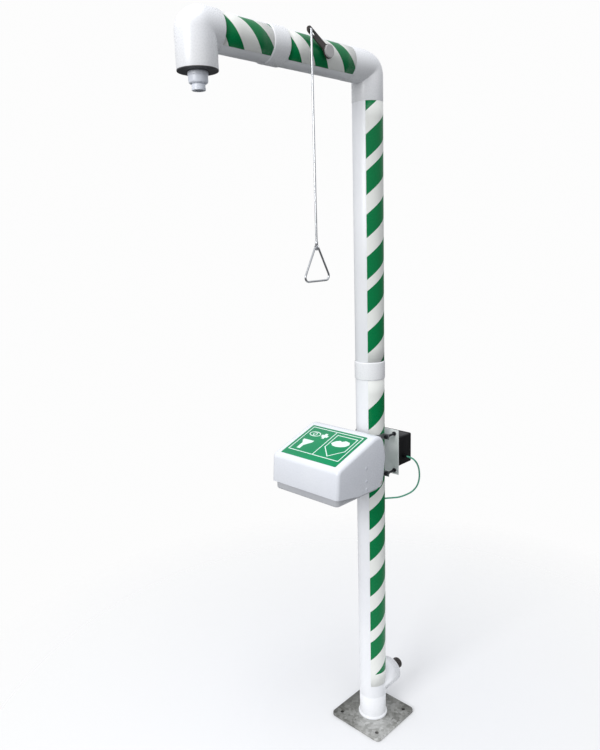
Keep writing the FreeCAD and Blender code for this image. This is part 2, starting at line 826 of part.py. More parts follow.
def bar_body(label, at, turn, ends, width, thick, holes):
    """A flat bar with a disc at each end, drawn along its own +X, and round holes through it."""
    owner = body(label, at, turn)
    drawing = sketch(owner, "XY")
    rectangle(drawing, (ends[0][0], -(width / 2)), (ends[1][0], width / 2))
    pad(owner, drawing, thick)
    for centre, diameter in ends:
        disc = sketch(owner, "XY")
        circle(disc, (centre, 0), diameter)
        pad(owner, disc, thick)
    for centre, diameter in holes:
        hole = sketch(owner, "XY")
        circle(hole, (centre, 0), diameter)
        pocket(owner, hole)
    return owner


slot_width = size.hook_pin_od + size.running_gap * 2
pull_lever = bar_body(
    "pull_lever", hub_point, lever_turn,
    ((0, size.lever_hub_od), (size.lever_eye, size.lever_width)), size.lever_width, size.lever_thick,
    ((size.lever_eye, slot_width), (size.lever_eye - size.lever_slot, slot_width)),
)
slot_sketch = sketch(pull_lever, "XY")
rectangle(slot_sketch, (size.lever_eye - size.lever_slot, -(slot_width / 2)), (size.lever_eye, slot_width / 2))
pocket(pull_lever, slot_sketch)
node(pull_lever)

hub_cap = body("lever_hub_cap", offset(hub_point, size.lever_thick, "+x"), TURNS["+x"])
hub_cap_sketch = sketch(hub_cap, "XY")
circle(hub_cap_sketch, (0, 0), size.lever_hub_od - 3)
hub_cap_pad = pad(hub_cap, hub_cap_sketch, size.hub_cap_thick)
fillet(hub_cap, hub_cap_pad, size.hub_cap_thick * 0.3,
       lambda edge: edge.BoundBox.ZMin > hub_cap_pad.Length.Value - 0.1)
node(hub_cap)

# The rod hooks through the lever's slot from outside and hangs straight down.
hook_y = -(size.valve_offset + size.lever_eye * rise[0])
hook_z = size.arm_height + size.lever_eye * rise[1]
rod_x = size.lever_plane + size.lever_thick + 1 + size.pull_rod_od / 2
hook_length = rod_x - size.lever_plane + 2
eye_od = size.handle_wire + 11
rod_foot = size.handle_pivot_level + eye_od / 2 - 1
handle_pivot = (rod_x, hook_y, size.handle_pivot_level)
half_eye = size.handle_eye_thick / 2
rod_parts = join(
    "pull_rod_blank",
    rod("pull_rod_shank", size.pull_rod_od, hook_z - rod_foot, (rod_x, hook_y, rod_foot)),
    ball("pull_rod_knee", size.pull_rod_od, (rod_x, hook_y, hook_z)),
    rod("pull_rod_hook", size.hook_pin_od, hook_length, (rod_x, hook_y, hook_z), "-x"),
    rod("pull_rod_eye", eye_od, size.handle_eye_thick, offset(handle_pivot, half_eye, "+y"), "-y"),
)
node(cut("pull_rod", rod_parts, rod("pull_rod_eye_hole", size.handle_wire + size.running_gap * 2,
                                    size.handle_eye_thick * 2, offset(handle_pivot, size.handle_eye_thick, "+y"),
                                    "-y")))


def rounded_path(points, radii, closed=False):
    """Straight runs joined by tangent arcs; radii are given for the points that turn."""
    count = len(points)
    turning = range(count) if closed else range(1, count - 1)
    edges = []
    cursor = None if closed else points[0]
    first_leave = None
    for number, radius in zip(turning, radii):
        corner = points[number]
        back = (points[number - 1] - corner).normalize()
        ahead = (points[(number + 1) % count] - corner).normalize()
        half_turn = (math.pi - back.getAngle(ahead)) / 2
        reach = radius * math.tan(half_turn)
        arrive = corner + back * reach
        leave = corner + ahead * reach
        middle = corner + (back + ahead).normalize() * (radius / math.cos(half_turn) - radius)
        if cursor is not None:
            edges.append(Part.LineSegment(cursor, arrive).toShape())
        else:
            first_leave = arrive
        edges.append(Part.Arc(arrive, middle, leave).toShape())
        cursor = leave
    edges.append(Part.LineSegment(cursor, first_leave if closed else points[-1]).toShape())
    return Part.Wire(edges)


def round_bar(path, diameter, start, direction):
    """A round bar along a path."""
    ring = Part.Wire([Part.makeCircle(diameter / 2, start, direction)])
    return path.makePipeShell([ring], True, True)


HANDLE_TOP_BEND = 5
HANDLE_BOTTOM_BEND = 13
wire = size.handle_wire.number
pivot = FreeCAD.Vector(*[plain(value) for value in handle_pivot])
half_top = size.handle_top_width.number / 2
half_foot = size.handle_width.number / 2 - wire / 2 + 4
drop = size.handle_pivot_level.number - size.handle_bottom_level.number - wire / 2
corners = [
    pivot + FreeCAD.Vector(0, -half_top, 0),
    pivot + FreeCAD.Vector(0, half_top, 0),
    pivot + FreeCAD.Vector(0, half_foot, -drop),
    pivot + FreeCAD.Vector(0, -half_foot, -drop),
]
bends = [HANDLE_TOP_BEND, HANDLE_TOP_BEND, HANDLE_BOTTOM_BEND, HANDLE_BOTTOM_BEND]
handle_path = rounded_path(corners, bends, closed=True)
pull_handle = node(make("Part::Feature", "pull_handle"))
handle_start = handle_path.Edges[0].Vertexes[0].Point
handle_shape = round_bar(handle_path, wire, handle_start, handle_path.Edges[0].tangentAt(
    handle_path.Edges[0].FirstParameter))
pull_handle.Shape = handle_shape
print("handle length", round(handle_path.Length, 1), "volume share",
      round(handle_shape.Volume / (math.pi * wire ** 2 / 4 * handle_path.Length), 4))

# ---------------------------------------------------------------- shower nozzle

seal_top = size.head_bottom
node(tube("head_seal_disc", size.head_od, size.nozzle_tip_od, size.seal_thick,
          (0, -size.arm_reach, seal_top - size.seal_thick)))
nozzle_neck = size.nozzle_tip_od - 0.4
nozzle_top = size.arm_height - grip
nozzle_body = join(
    "nozzle_blank",
    rod("nozzle_barrel", size.nozzle_od, seal_top - size.seal_thick - size.nozzle_step,
        (0, -size.arm_reach, size.nozzle_step)),
    rod("nozzle_neck", nozzle_neck, nozzle_top - size.socket_depth - size.nozzle_step,
        (0, -size.arm_reach, size.nozzle_step)),
    rod("nozzle_thread", size.pipe_od, size.socket_depth * 2,
        (0, -size.arm_reach, nozzle_top - size.socket_depth * 2)),
)
node(cut("nozzle_body", nozzle_body,
         rod("nozzle_bore", size.nozzle_tip_od - 12, size.arm_height, (0, -size.arm_reach, 0))))
tip_blank = body("nozzle_tip", (0, -size.arm_reach, size.outlet_level))
tip_sketch = sketch(tip_blank, "XY")
circle(tip_sketch, (0, 0), size.nozzle_tip_od)
tip_pad = pad(tip_blank, tip_sketch, size.nozzle_step - size.outlet_level)
fillet(tip_blank, tip_pad, 1.5, lambda edge: edge.BoundBox.ZMax < 0.1)
tip_hole = sketch(tip_blank, "XY")
circle(tip_hole, (0, 0), size.nozzle_tip_od - 16)
pocket(tip_blank, tip_hole)
node(tip_blank)

# ---------------------------------------------------------------- warning tape

tape_arc = size.tape_width / (size.jacket_od / 2) * (180 / math.pi)


def tape_strip(label, length, at, turn, *holes):
    outside = rod(label + "_outside", tape_od, length, at, arc=tape_arc)
    inside = rod(label + "_inside", tape_bore, length, at)
    for piece in (outside, inside):
        place(piece, at, turn)
    return cut(label, outside, inside, *holes)


def column_tape(label, start, end):
    return tape_strip(label, end - start, (0, 0, start), FreeCAD.Rotation(Z, size.column_tape_start.number - 90))


def arm_tape(label, start, end, *holes):
    """The arc is centred on the arm's +X side; its own start angle is measured in the arm's section."""
    begin = size.arm_tape_middle.number - tape_arc.number / 2
    turn = TURNS["-y"].multiply(FreeCAD.Rotation(Z, begin))
    return tape_strip(label, end - start, (0, -start, size.arm_height), turn, *holes)


node(group("column_tape", [
    column_tape("column_tape_low", size.tape_bottom, size.column_joint - half_band - 1),
    column_tape("column_tape_high", size.column_joint + half_band + 1, size.bend_joint - 1),
]))
node(group("arm_tape", [
    arm_tape("arm_tape_rear", size.bend_end + 1, size.arm_joint - half_band - 1,
             rod("arm_tape_stem_hole", valve_rod_hole, size.jacket_od, valve_centre, "+x")),
    arm_tape("arm_tape_front", size.arm_joint + half_band + 1, head_end - 1),
]))

# ---------------------------------------------------------------- clamps, plate and junction box

strap_bore = tape_od + size.tape_lift * 2
strap_od = strap_bore + size.strap_thick * 2
ear_top = size.strap_ear
clamp_levels = (size.clamp_upper, size.clamp_lower)
half_strap = size.strap_width / 2
ear_end = size.clamp_bolt_offset + 9
bolt_hole = size.clamp_bolt_od + 1


def clamp_strap(label, level):
    """A band round the column's front with an ear on each side."""
    low = level - half_strap
    high = level + half_strap
    hoop = cut(
        label + "_hoop",
        join(label + "_hoop_blank", rod(label + "_ring", strap_od, size.strap_width, (0, 0, low)),
             block(label + "_skirt", (-(strap_od / 2), 0, low), (strap_od / 2, ear_top, high))),
        rod(label + "_bore", strap_bore, size.strap_width, (0, 0, low)),
        block(label + "_gap", (-(strap_bore / 2), 0, low), (strap_bore / 2, size.jacket_od, high)),
        block(label + "_back", (-size.jacket_od, ear_top, low), (size.jacket_od, size.jacket_od, high)),
    )
    ears = [
        block(label + "_ear", (strap_bore / 2, ear_top - size.strap_thick, low), (ear_end, ear_top, high)),
        block(label + "_ear_left", (-ear_end, ear_top - size.strap_thick, low),
              (-(strap_bore / 2), ear_top, high)),
    ]
    holes = [rod(label + "_hole", bolt_hole, size.jacket_od, (size.clamp_bolt_offset * side, 0, level), "+y")
             for side in (-1, 1)]
    return cut(label, join(label + "_blank", hoop, *ears), *holes)


node(group("clamp_straps", [clamp_strap("strap_upper", size.clamp_upper),
                            clamp_strap("strap_lower", size.clamp_lower)]))


def hexagon(label, across, thick, at, way):
    prism = make("Part::Prism", label)
    prism.Polygon = 6
    bind(prism, "Circumradius", across / math.sqrt(3))
    bind(prism, "Height", fixed(thick))
    place(prism, at, TURNS[way])
    return prism


bolts = []
nuts = []
plate_back = size.plate_face + size.plate_thick
nut_bore = size.clamp_bolt_od + size.running_gap * 2
for level in clamp_levels:
    for side in (-1, 1):
        ear_front = (size.clamp_bolt_offset * side, ear_top - size.strap_thick, level)
        head_back = offset(ear_front, size.nut_thick, "-y")
        shank_length = plate_back - ear_top + size.strap_thick + size.nut_thick + 5
        bolts.append(join(
            "clamp_bolt",
            hexagon("clamp_bolt_head", size.nut_across, size.nut_thick, head_back, "+y"),
            rod("clamp_bolt_shank", size.clamp_bolt_od, shank_length, ear_front, "+y"),
        ))
        for face, way in ((ear_top, "+y"), (size.plate_face, "-y"), (plate_back, "+y")):
            at = (size.clamp_bolt_offset * side, face, level)
            nuts.append(cut(
                "clamp_nut",
                hexagon("clamp_nut_blank", size.nut_across, size.nut_thick, at, way),
                rod("clamp_nut_bore", nut_bore, size.nut_thick, at, way),
            ))
node(group("clamp_bolts", bolts))
node(group("clamp_nuts", nuts))

half_plate = size.plate_width / 2
mounting_plate = body("mounting_plate")
mount_sketch = sketch(mounting_plate, "XZ", -plate_back)
rectangle(mount_sketch, (-half_plate, size.plate_bottom), (half_plate, size.plate_top))
for level in clamp_levels:
    for side in (-1, 1):
        circle(mount_sketch, (size.clamp_bolt_offset * side, level), bolt_hole)
pad(mounting_plate, mount_sketch, size.plate_thick)
node(mounting_plate)

half_box = size.box_width / 2
gland_level = size.box_bottom + size.gland_rise
junction_box = body("junction_box", (0, plate_back, 0), TURNS["+y"])
box_sketch = sketch(junction_box, "XY")
rectangle(box_sketch, (-half_box, -size.box_top), (half_box, -size.box_bottom))
box_pad = pad(junction_box, box_sketch, size.box_depth)
box_round = fillet(junction_box, box_pad, size.box_corner, lambda edge: runs_along(edge, Z))
hollow(junction_box, box_round, size.box_wall,
       lambda face: face.BoundBox.ZMin > box_pad.Length.Value - 0.1)
gland_hole = sketch(junction_box, "YZ")
circle(gland_hole, (-gland_level, size.gland_depth), size.lead_od + 4)
gland_cut = junction_box.newObject("PartDesign::Pocket", "junction_box_gland_hole")
gland_cut.Profile = gland_hole
gland_cut.Type = "ThroughAll"
gland_cut.Reversed = True
doc.recompute()
node(junction_box)

box_cover = body("junction_box_cover", (0, plate_back + size.box_depth, 0), TURNS["+y"])
cover_sketch = sketch(box_cover, "XY")
rectangle(cover_sketch, (-half_box, -size.box_top), (half_box, -size.box_bottom))
cover_pad = pad(box_cover, cover_sketch, size.box_cover_thick)
cover_round = fillet(box_cover, cover_pad, size.box_corner, lambda edge: runs_along(edge, Z))
fillet(box_cover, cover_round, 2, lambda edge: edge.BoundBox.ZMin > cover_pad.Length.Value - 0.1)
node(box_cover)

cover_face = plate_back + size.box_depth + size.box_cover_thick
screw_inset = 10
node(group("box_cover_screws", [
    rod("box_cover_screw", 7, 1.6, ((half_box - screw_inset) * side, cover_face, level), "+y")
    for side in (-1, 1)
    for level in (size.box_top - screw_inset, size.box_bottom + screw_inset)
]))
box_floor = plate_back + size.box_wall
node(block("terminal_block", (-35, box_floor, size.box_bottom + 40), (35, box_floor + 24, size.box_bottom + 62)))

gland_at = (half_box, plate_back + size.gland_depth, gland_level)
node(cut(
    "cable_gland",
    join(
        "gland_blank",
        hexagon("gland_nut", size.gland_od, size.gland_length * 0.6, gland_at, "+x"),
        rod("gland_dome", size.gland_od - 4, size.gland_length, gland_at, "+x"),
    ),
    rod("gland_bore", size.lead_od + size.inner_gap, size.gland_length, gland_at, "+x"),
))

# ---------------------------------------------------------------- earth lead

lead_points = [
    FreeCAD.Vector(92, 90, 1049),
    FreeCAD.Vector(112, 90, 1049),
    FreeCAD.Vector(124, 99, 1037),
    FreeCAD.Vector(122, 120, 1012),
    FreeCAD.Vector(114, 140, 982),
    FreeCAD.Vector(104, 155, 948),
    FreeCAD.Vector(92, 160, 916),
    FreeCAD.Vector(79, 150, 894),
    FreeCAD.Vector(66, 127, 884),
    FreeCAD.Vector(55, 94, 881),
    FreeCAD.Vector(44.3, 56.7, 888),
    FreeCAD.Vector(29.7, 38, 888),
]
RUN_SHARE = 0.45
lead_radii = []
for before, corner, after in zip(lead_points, lead_points[1:], lead_points[2:]):
    half_turn = (math.pi - (before - corner).getAngle(after - corner)) / 2
    shorter = min((before - corner).Length, (after - corner).Length)
    lead_radii.append(RUN_SHARE * shorter / math.tan(half_turn))
print("earth lead radii", [round(radius, 1) for radius in lead_radii])
lead_path = rounded_path(lead_points, lead_radii)
earth_lead = node(make("Part::Feature", "earth_lead"))
lead_shape = round_bar(lead_path, size.lead_od.number, lead_points[0], lead_points[1] - lead_points[0])
earth_lead.Shape = lead_shape
print("earth lead length", round(lead_path.Length, 1), "volume share",
      round(lead_shape.Volume / (math.pi * size.lead_od.number ** 2 / 4 * lead_path.Length), 4))

# ---------------------------------------------------------------- eyewash bracket and bowl

bracket_back = strap_od / 2
bracket_half = 45
bracket_thick = 3
arm_low = size.bowl_bottom + 2
arm_high = size.bowl_rim - 8
bracket = join(
    "eyewash_bracket_blank",
    block("bracket_back_plate", (-bracket_half, -bracket_back - bracket_thick, size.clamp_lower - 10),
          (bracket_half, -bracket_back, size.clamp_upper + 10)),
    block("bracket_arm_left", (-bracket_half, -size.bowl_back, arm_low),
          (bracket_thick - bracket_half, -bracket_back, arm_high)),
    block("bracket_arm_right", (bracket_half - bracket_thick, -size.bowl_back, arm_low),
          (bracket_half, -bracket_back, arm_high)),
    block("bracket_flange", (-bracket_half, -size.bowl_back, arm_low),
          (bracket_half, bracket_thick - size.bowl_back, arm_high)),
)
node(cut("eyewash_bracket", bracket,
         rod("bracket_feed_hole", feed_hole, size.bowl_back + 2, eyewash_centre, "-y")))

half_bowl = size.bowl_width / 2


def tub(label, inset, bottom):
    """The bowl as a solid block with rounded upright and bottom edges."""
    owner = body(label, (0, 0, bottom))
    drawing = sketch(owner, "XY")
    rectangle(drawing, (inset - half_bowl, inset - size.bowl_front), (half_bowl - inset, -(size.bowl_back + inset)))
    blank = pad(owner, drawing, size.bowl_rim - bottom + inset)
    sides = fillet(owner, blank, size.bowl_corner - inset, lambda edge: runs_along(edge, Z))
    fillet(owner, sides, size.bowl_corner / 2 - inset, lambda edge: edge.BoundBox.ZMax < bottom.number + 0.1)
    return owner


drain_y = -size.manifold_offset
node(cut(
    "eyewash_bowl",
    tub("bowl_outside", 0, size.bowl_bottom),
    tub("bowl_inside", size.bowl_wall, size.bowl_bottom + size.bowl_wall),
    rod("bowl_drain", size.drain_od, size.bowl_wall * 2, (0, drain_y, size.bowl_bottom - 1)),
    rod("bowl_feed_hole", size.feed_od + 2, size.bowl_wall * 3,
        (0, -(size.bowl_back - 1), size.eyewash_level), "-y"),
))

strainer_at = (0, drain_y, size.bowl_bottom + size.bowl_wall)
STRAINER_HOLES = 6
strainer = body("bowl_strainer", strainer_at)
strainer_sketch = sketch(strainer, "XY")
circle(strainer_sketch, (0, 0), size.strainer_od)
for number in range(STRAINER_HOLES):
    angle = 2 * math.pi * number / STRAINER_HOLES
    ring_radius = size.drain_od / 3.4
    circle(strainer_sketch, (ring_radius * math.cos(angle), ring_radius * math.sin(angle)), 7)
pad(strainer, strainer_sketch, size.strainer_thick)
node(strainer)

# ---------------------------------------------------------------- eyewash lid

# The hinge axis is the centre of the lid's rounded back, so that the back turns in place.
slope_rise = sine(size.lid_slope) / cosine(size.lid_slope)
hinge_y = -(size.lid_back + size.lid_back_radius)
roof_at_nose = size.lid_front_top_level
back_peak = roof_at_nose + (size.lid_front_top - size.lid_back) * slope_rise
hinge_z = (roof_at_nose + (size.lid_front_top + hinge_y) * slope_rise
           - size.lid_back_radius / cosine(size.lid_slope))


def near(point, y, z):
    return math.hypot(point.y - plain(y), point.z - plain(z)) < 1


def lid_block(label, width, inset, foot):
    """The lid as a solid block: drawn from the side, with its nose, back and rim rounded."""
    lean = (size.lid_front - size.lid_front_top) / (size.lid_front_top_level - size.lid_front_bottom_level)
    roof_drop = fixed(inset) / cosine(size.lid_slope)
    nose = (inset - size.lid_front_top, roof_at_nose - roof_drop + fixed(inset) * slope_rise)
    back = (-(size.lid_back + inset), back_peak - roof_drop - fixed(inset) * slope_rise)
    front_foot = size.lid_front_bottom_level - foot
    owner = body(label)
    drawing = sketch(owner, "YZ")
    outline(drawing, [
        (inset - size.lid_front - lean * foot, front_foot), nose, back, (back[0], hinge_z - 40),
        (-(size.lid_back + 16), size.lid_cheek_bottom + 8 - foot),
        (-(size.lid_back + 28), size.lid_cheek_bottom - foot),
        (-(size.lid_back + 138), size.lid_cheek_bottom - foot),
    ])
    blank = pad(owner, drawing, width, both_ways=True)
    back_round = fillet(owner, blank, size.lid_back_radius - inset,
                        lambda edge: runs_along(edge, X) and near(edge.CenterOfMass, *back))
    nose_round = fillet(owner, back_round, size.lid_nose_radius - inset,
                        lambda edge: runs_along(edge, X) and near(edge.CenterOfMass, *nose))

    def on_rim(edge):
        """The side edges of the front, the roof and the rounded back."""
        middle = edge.CenterOfMass
        at_front = middle.y < -size.lid_front_top.number + plain(inset) and edge.BoundBox.ZLength > 20
        return edge.BoundBox.XLength < 0.1 and (middle.z > hinge_z.number - 1 or at_front)

    fillet(owner, nose_round, size.lid_side_radius - inset, on_rim)
    return owner


half_lid = size.lid_width / 2
half_cavity = half_lid - size.lid_wall
lid_shell = cut(
    "lid_shell",
    lid_block("lid_outside", size.lid_width, 0, 0),
    lid_block("lid_inside", half_cavity * 2, size.lid_wall, 20),
    block("lid_open_back", (-half_cavity, hinge_y, size.lid_cheek_bottom - 20), (half_cavity, 0, hinge_z)),
)
crank_outer = size.crank_plane + size.crank_thick
lug_y = hinge_y - size.crank_length
roof_inside = roof_at_nose - size.lid_wall / cosine(size.lid_slope) + size.lid_front_top * slope_rise
lug_half = size.link_width / 2
lug = body("lid_lug")
lug_sketch = sketch(lug, "YZ", -crank_outer)
overlap = 1
outline(lug_sketch, [
    (lug_y - lug_half, hinge_z - lug_half),
    (lug_y + lug_half, hinge_z - lug_half),
    (lug_y + lug_half, roof_inside + (lug_y + lug_half) * slope_rise + overlap),
    (lug_y - lug_half, roof_inside + (lug_y - lug_half) * slope_rise + overlap),
])
pad(lug, lug_sketch, size.crank_thick)
lug_pin = rod("lid_lug_pin", size.crank_pin_od, size.crank_thick * 2 + 2, (-crank_outer, lug_y, hinge_z), "+x")
node(join("eyewash_lid", lid_shell, lug, lug_pin))

cap_y = size.lid_back + 99
CAP_LEVELS = (12, 40, 84)
cap_parts = [
    rod("lid_screw_cap", size.screw_cap_od, size.screw_cap_thick,
        (half_lid * side, -cap_y, size.lid_cheek_bottom + level), way)
    for side, way in ((-1, "-x"), (1, "+x"))
    for level in CAP_LEVELS
]
node(group("lid_screw_caps", cap_parts))

pin_start = half_bowl - size.bowl_wall - size.post_thick - 3
pin_length = half_lid - size.lid_wall - pin_start
node(group("hinge_pins", [
    rod("hinge_pin", size.hinge_pin_od, pin_length, (pin_start * side, hinge_y, hinge_z), way)
    for side, way in ((-1, "-x"), (1, "+x"))
]))

post_outer = half_bowl - size.bowl_wall
post_back = hinge_y - 7
post_front = post_back - 20
post_bottom = size.bowl_bottom + size.bowl_corner


def hinge_post(label, start):
    """A flat post on the bowl's inner side that carries one hinge pin."""
    owner = body(label)
    drawing = sketch(owner, "YZ", start)
    outline(drawing, [
        (post_front, post_bottom), (post_back, post_bottom), (post_back, hinge_z - 30),
        (hinge_y + 9, hinge_z - 8), (hinge_y + 9, hinge_z + 8), (hinge_y - 9, hinge_z + 8),
        (post_front, hinge_z - 24),
    ])
    pad(owner, drawing, size.post_thick)
    hole = sketch(owner, "YZ")
    circle(hole, (hinge_y, hinge_z), size.hinge_pin_od + size.running_gap * 2)
    pocket(owner, hole)
    return owner


node(group("hinge_posts", [hinge_post("hinge_post_right", post_outer - size.post_thick),
                           hinge_post("hinge_post_left", -post_outer)]))

# The sign lies on the lid's slope.
sign_lift = 0.05
roof_turn = FreeCAD.Rotation(X, size.lid_slope.number)
sign_front = size.lid_front - size.sign_front_margin
sign = body("lid_sign", (0, -sign_front - sine(size.lid_slope) * sign_lift,
                         roof_at_nose + (size.lid_front_top - sign_front) * slope_rise
                         + cosine(size.lid_slope) * sign_lift), roof_turn)
sign_sketch = sketch(sign, "XY")
half_sign = size.sign_width / 2
rectangle(sign_sketch, (-half_sign, 0), (half_sign, size.sign_length))
pad(sign, sign_sketch, size.sign_thick)
node(sign)

# ---------------------------------------------------------------- eyewash valve, link and sprays

feed_centre = (0, -size.feed_valve_offset, size.eyewash_level)
feed_half = 25
feed_grip = 12
node(tube("eyewash_feed_pipe", size.feed_od, feed_bore,
          size.feed_valve_offset - feed_half + feed_grip - grip, (0, -grip, size.eyewash_level), "-y"))
feed_seat = size.feed_ball_od + size.ball_gap * 2
feed_port = 14
feed_valve_start = offset(feed_centre, feed_half, "+y")
feed_boss = size.feed_valve_od / 2 + 8
feed_stem_bore = size.feed_stem_od + size.running_gap * 2
node(cut(
    "eyewash_valve_body",
    join(
        "eyewash_valve_outside",
        rod("eyewash_valve_barrel", size.feed_valve_od, feed_half * 2, feed_valve_start, "-y"),
        rod("eyewash_valve_boss", size.feed_stem_od + 8, feed_boss, feed_centre, "-x"),
    ),
    join(
        "eyewash_valve_inside",
        ball("eyewash_valve_seat", feed_seat, feed_centre),
        rod("eyewash_valve_bore", feed_port, feed_half * 2, feed_valve_start, "-y"),
        rod("eyewash_valve_socket_rear", feed_socket, feed_grip, feed_valve_start, "-y"),
        rod("eyewash_valve_socket_front", feed_socket, feed_grip, offset(feed_centre, feed_half, "-y"), "+y"),
        rod("eyewash_valve_stem_bore", feed_stem_bore, feed_boss + 1, feed_centre, "-x"),
    ),
))
feed_stem_foot = size.feed_ball_od / 2 - 4
node(cut(
    "eyewash_valve_ball",
    ball("eyewash_ball_blank", size.feed_ball_od, feed_centre),
    rod("eyewash_ball_port", feed_port, size.feed_ball_od * 2, offset(feed_centre, size.feed_ball_od, "-z")),
    rod("eyewash_ball_slot", size.feed_stem_od, size.feed_ball_od, offset(feed_centre, feed_stem_foot, "-x"), "-x"),
))

# The crank, the link and the lid's lug make a parallelogram, so the ball turns with the lid.
crank_plate = bar_body(
    "crank_plate", (-size.crank_plane, -size.feed_valve_offset, size.eyewash_level),
    FreeCAD.Rotation(FreeCAD.Vector(0, -1, 0), FreeCAD.Vector(0, 0, 1), FreeCAD.Vector(-1, 0, 0), "ZXY"),
    ((0, size.link_width + 2), (size.crank_length, size.link_width)), size.link_width, size.crank_thick, (),
)
crank_pin_start = (-crank_outer, -(size.feed_valve_offset + size.crank_length), size.eyewash_level)
node(join(
    "eyewash_valve_stem",
    rod("eyewash_stem_shaft", size.feed_stem_od, size.crank_plane - feed_stem_foot,
        offset(feed_centre, feed_stem_foot, "-x"), "-x"),
    crank_plate,
    rod("crank_pin", size.crank_pin_od, size.crank_thick * 2 + 2, crank_pin_start, "+x"),
))

link_run_y = -(size.feed_valve_offset) - hinge_y
link_run_z = size.eyewash_level - hinge_z
link_length = math.hypot(link_run_y.number, link_run_z.number)
link_span = Size(link_length, "sqrt(%s * %s + %s * %s)" % (
    link_run_y.text, link_run_y.text, link_run_z.text, link_run_z.text))
link_way = FreeCAD.Vector(0, link_run_y.number, link_run_z.number).normalize()
link_turn = FreeCAD.Rotation(link_way, X.cross(link_way), X, "ZXY")
link_eye = size.crank_pin_od + size.running_gap * 2
link_gap = 0.5
node(bar_body(
    "lid_link", (link_gap - size.crank_plane, lug_y, hinge_z), link_turn,
    ((0, size.link_width), (link_span, size.link_width)), size.link_width, size.crank_thick,
    ((0, link_eye), (link_span, link_eye + size.cover_gap)),
))

manifold_centre = (0, -size.manifold_offset, size.eyewash_level)
half_spray = size.spray_spacing / 2
manifold_end = half_spray + size.manifold_od / 2 + 2
outlet_start = size.feed_valve_offset + feed_half - feed_grip
manifold_outside = join(
    "manifold_outside",
    rod("manifold_bar", size.manifold_od, manifold_end * 2, offset(manifold_centre, manifold_end, "-x"), "+x"),
    rod("manifold_inlet", size.feed_od, size.manifold_offset - outlet_start, (0, -outlet_start, size.eyewash_level), "-y"),
)
manifold_bore = 15
feed_way = 13
manifold_inside = join(
    "manifold_inside",
    rod("manifold_bar_bore", manifold_bore, half_spray * 2 + 8, offset(manifold_centre, half_spray + 4, "-x"), "+x"),
    rod("manifold_inlet_bore", feed_way, size.manifold_offset - outlet_start + 1,
        (0, -outlet_start + 1, size.eyewash_level), "-y"),
    *[rod("manifold_port", 10, size.manifold_od, (half_spray * side, -size.manifold_offset, size.eyewash_level), "+z")
      for side in (-1, 1)]
)
node(cut("spray_manifold", manifold_outside, manifold_inside))


def spray_head(label, side):
    """A shallow aerated cup on a threaded tail."""
    at = (half_spray * side, -size.manifold_offset, size.eyewash_level + size.manifold_od / 2 - 4)
    height = size.spray_top - at[2]
    cup_height = 14
    tail = rod(label + "_tail", 9.8, height - cup_height, at)
    cup = make("Part::Cone", label + "_cup")
    bind(cup, "Radius1", size.spray_cup_od / 4)
    bind(cup, "Radius2", size.spray_cup_od / 2)
    bind(cup, "Height", fixed(cup_height))
    place(cup, (at[0], at[1], size.spray_top - cup_height))
    recess = rod(label + "_recess", size.spray_cup_od - 8, 4, (at[0], at[1], size.spray_top - 3))
    return cut(label, join(label + "_blank", tail, cup), recess)


node(group("spray_heads", [spray_head("spray_head_left", -1), spray_head("spray_head_right", 1)]))

# ---------------------------------------------------------------- check and write

doc.recompute()
faults = [thing.Label for thing in doc.Objects if "Invalid" in thing.State or "Error" in thing.State]
if faults:
    raise RuntimeError("these objects failed: %s" % ", ".join(faults))
os.makedirs("parts", exist_ok=True)
for thing in NODES:
    shape = thing.Shape
    if shape.isNull() or not shape.isValid() or not shape.Solids:
        raise RuntimeError("no valid solid in " + thing.Label)
    shape.exportStep("parts/%s.step" % thing.Label)
print(len(NODES), "nodes written")
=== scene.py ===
import math
import bmesh
import bpy
from mathutils import Matrix, Vector


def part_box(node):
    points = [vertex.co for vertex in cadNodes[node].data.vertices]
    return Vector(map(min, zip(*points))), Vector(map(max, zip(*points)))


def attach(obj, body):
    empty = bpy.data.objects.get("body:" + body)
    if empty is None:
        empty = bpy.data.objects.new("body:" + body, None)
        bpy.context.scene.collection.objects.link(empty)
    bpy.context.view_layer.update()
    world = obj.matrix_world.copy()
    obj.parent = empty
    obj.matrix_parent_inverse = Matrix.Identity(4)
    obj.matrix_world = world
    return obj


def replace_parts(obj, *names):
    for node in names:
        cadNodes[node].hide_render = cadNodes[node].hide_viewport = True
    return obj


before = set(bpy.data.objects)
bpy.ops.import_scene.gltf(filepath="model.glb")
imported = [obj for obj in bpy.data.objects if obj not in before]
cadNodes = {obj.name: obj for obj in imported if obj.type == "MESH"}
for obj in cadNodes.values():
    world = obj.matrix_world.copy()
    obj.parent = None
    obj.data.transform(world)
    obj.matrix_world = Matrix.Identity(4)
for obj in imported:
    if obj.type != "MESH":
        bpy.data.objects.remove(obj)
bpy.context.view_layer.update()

mm = 0.001
print("frame loaded:", len(cadNodes), "nodes")

# the view: where the camera stands and how it is turned

view = {"place": (1.4202, -1.7969, 1.8435), "heading": 44.44, "down": 12.0, "roll": -1.8, "lens": 31.99}


def addCamera():
    heading, down, roll = (math.radians(view[key]) for key in ("heading", "down", "roll"))
    back = Vector((math.sin(heading) * math.cos(down), -math.cos(heading) * math.cos(down), math.sin(down)))
    right = Vector((math.cos(heading), math.sin(heading), 0))
    up = back.cross(right)
    tiltedRight = right * math.cos(roll) + up * math.sin(roll)
    tiltedUp = up * math.cos(roll) - right * math.sin(roll)
    cameraData = bpy.data.cameras.new("camera")
    cameraData.lens = view["lens"]
    cameraData.sensor_width = 36
    camera = bpy.data.objects.new("camera", cameraData)
    turned = Matrix((tiltedRight, tiltedUp, back)).transposed()
    camera.matrix_world = Matrix.Translation(view["place"]) @ turned.to_4x4()
    bpy.context.scene.collection.objects.link(camera)
    bpy.context.scene.camera = camera


addCamera()

# materials, all on each piece's own coordinates


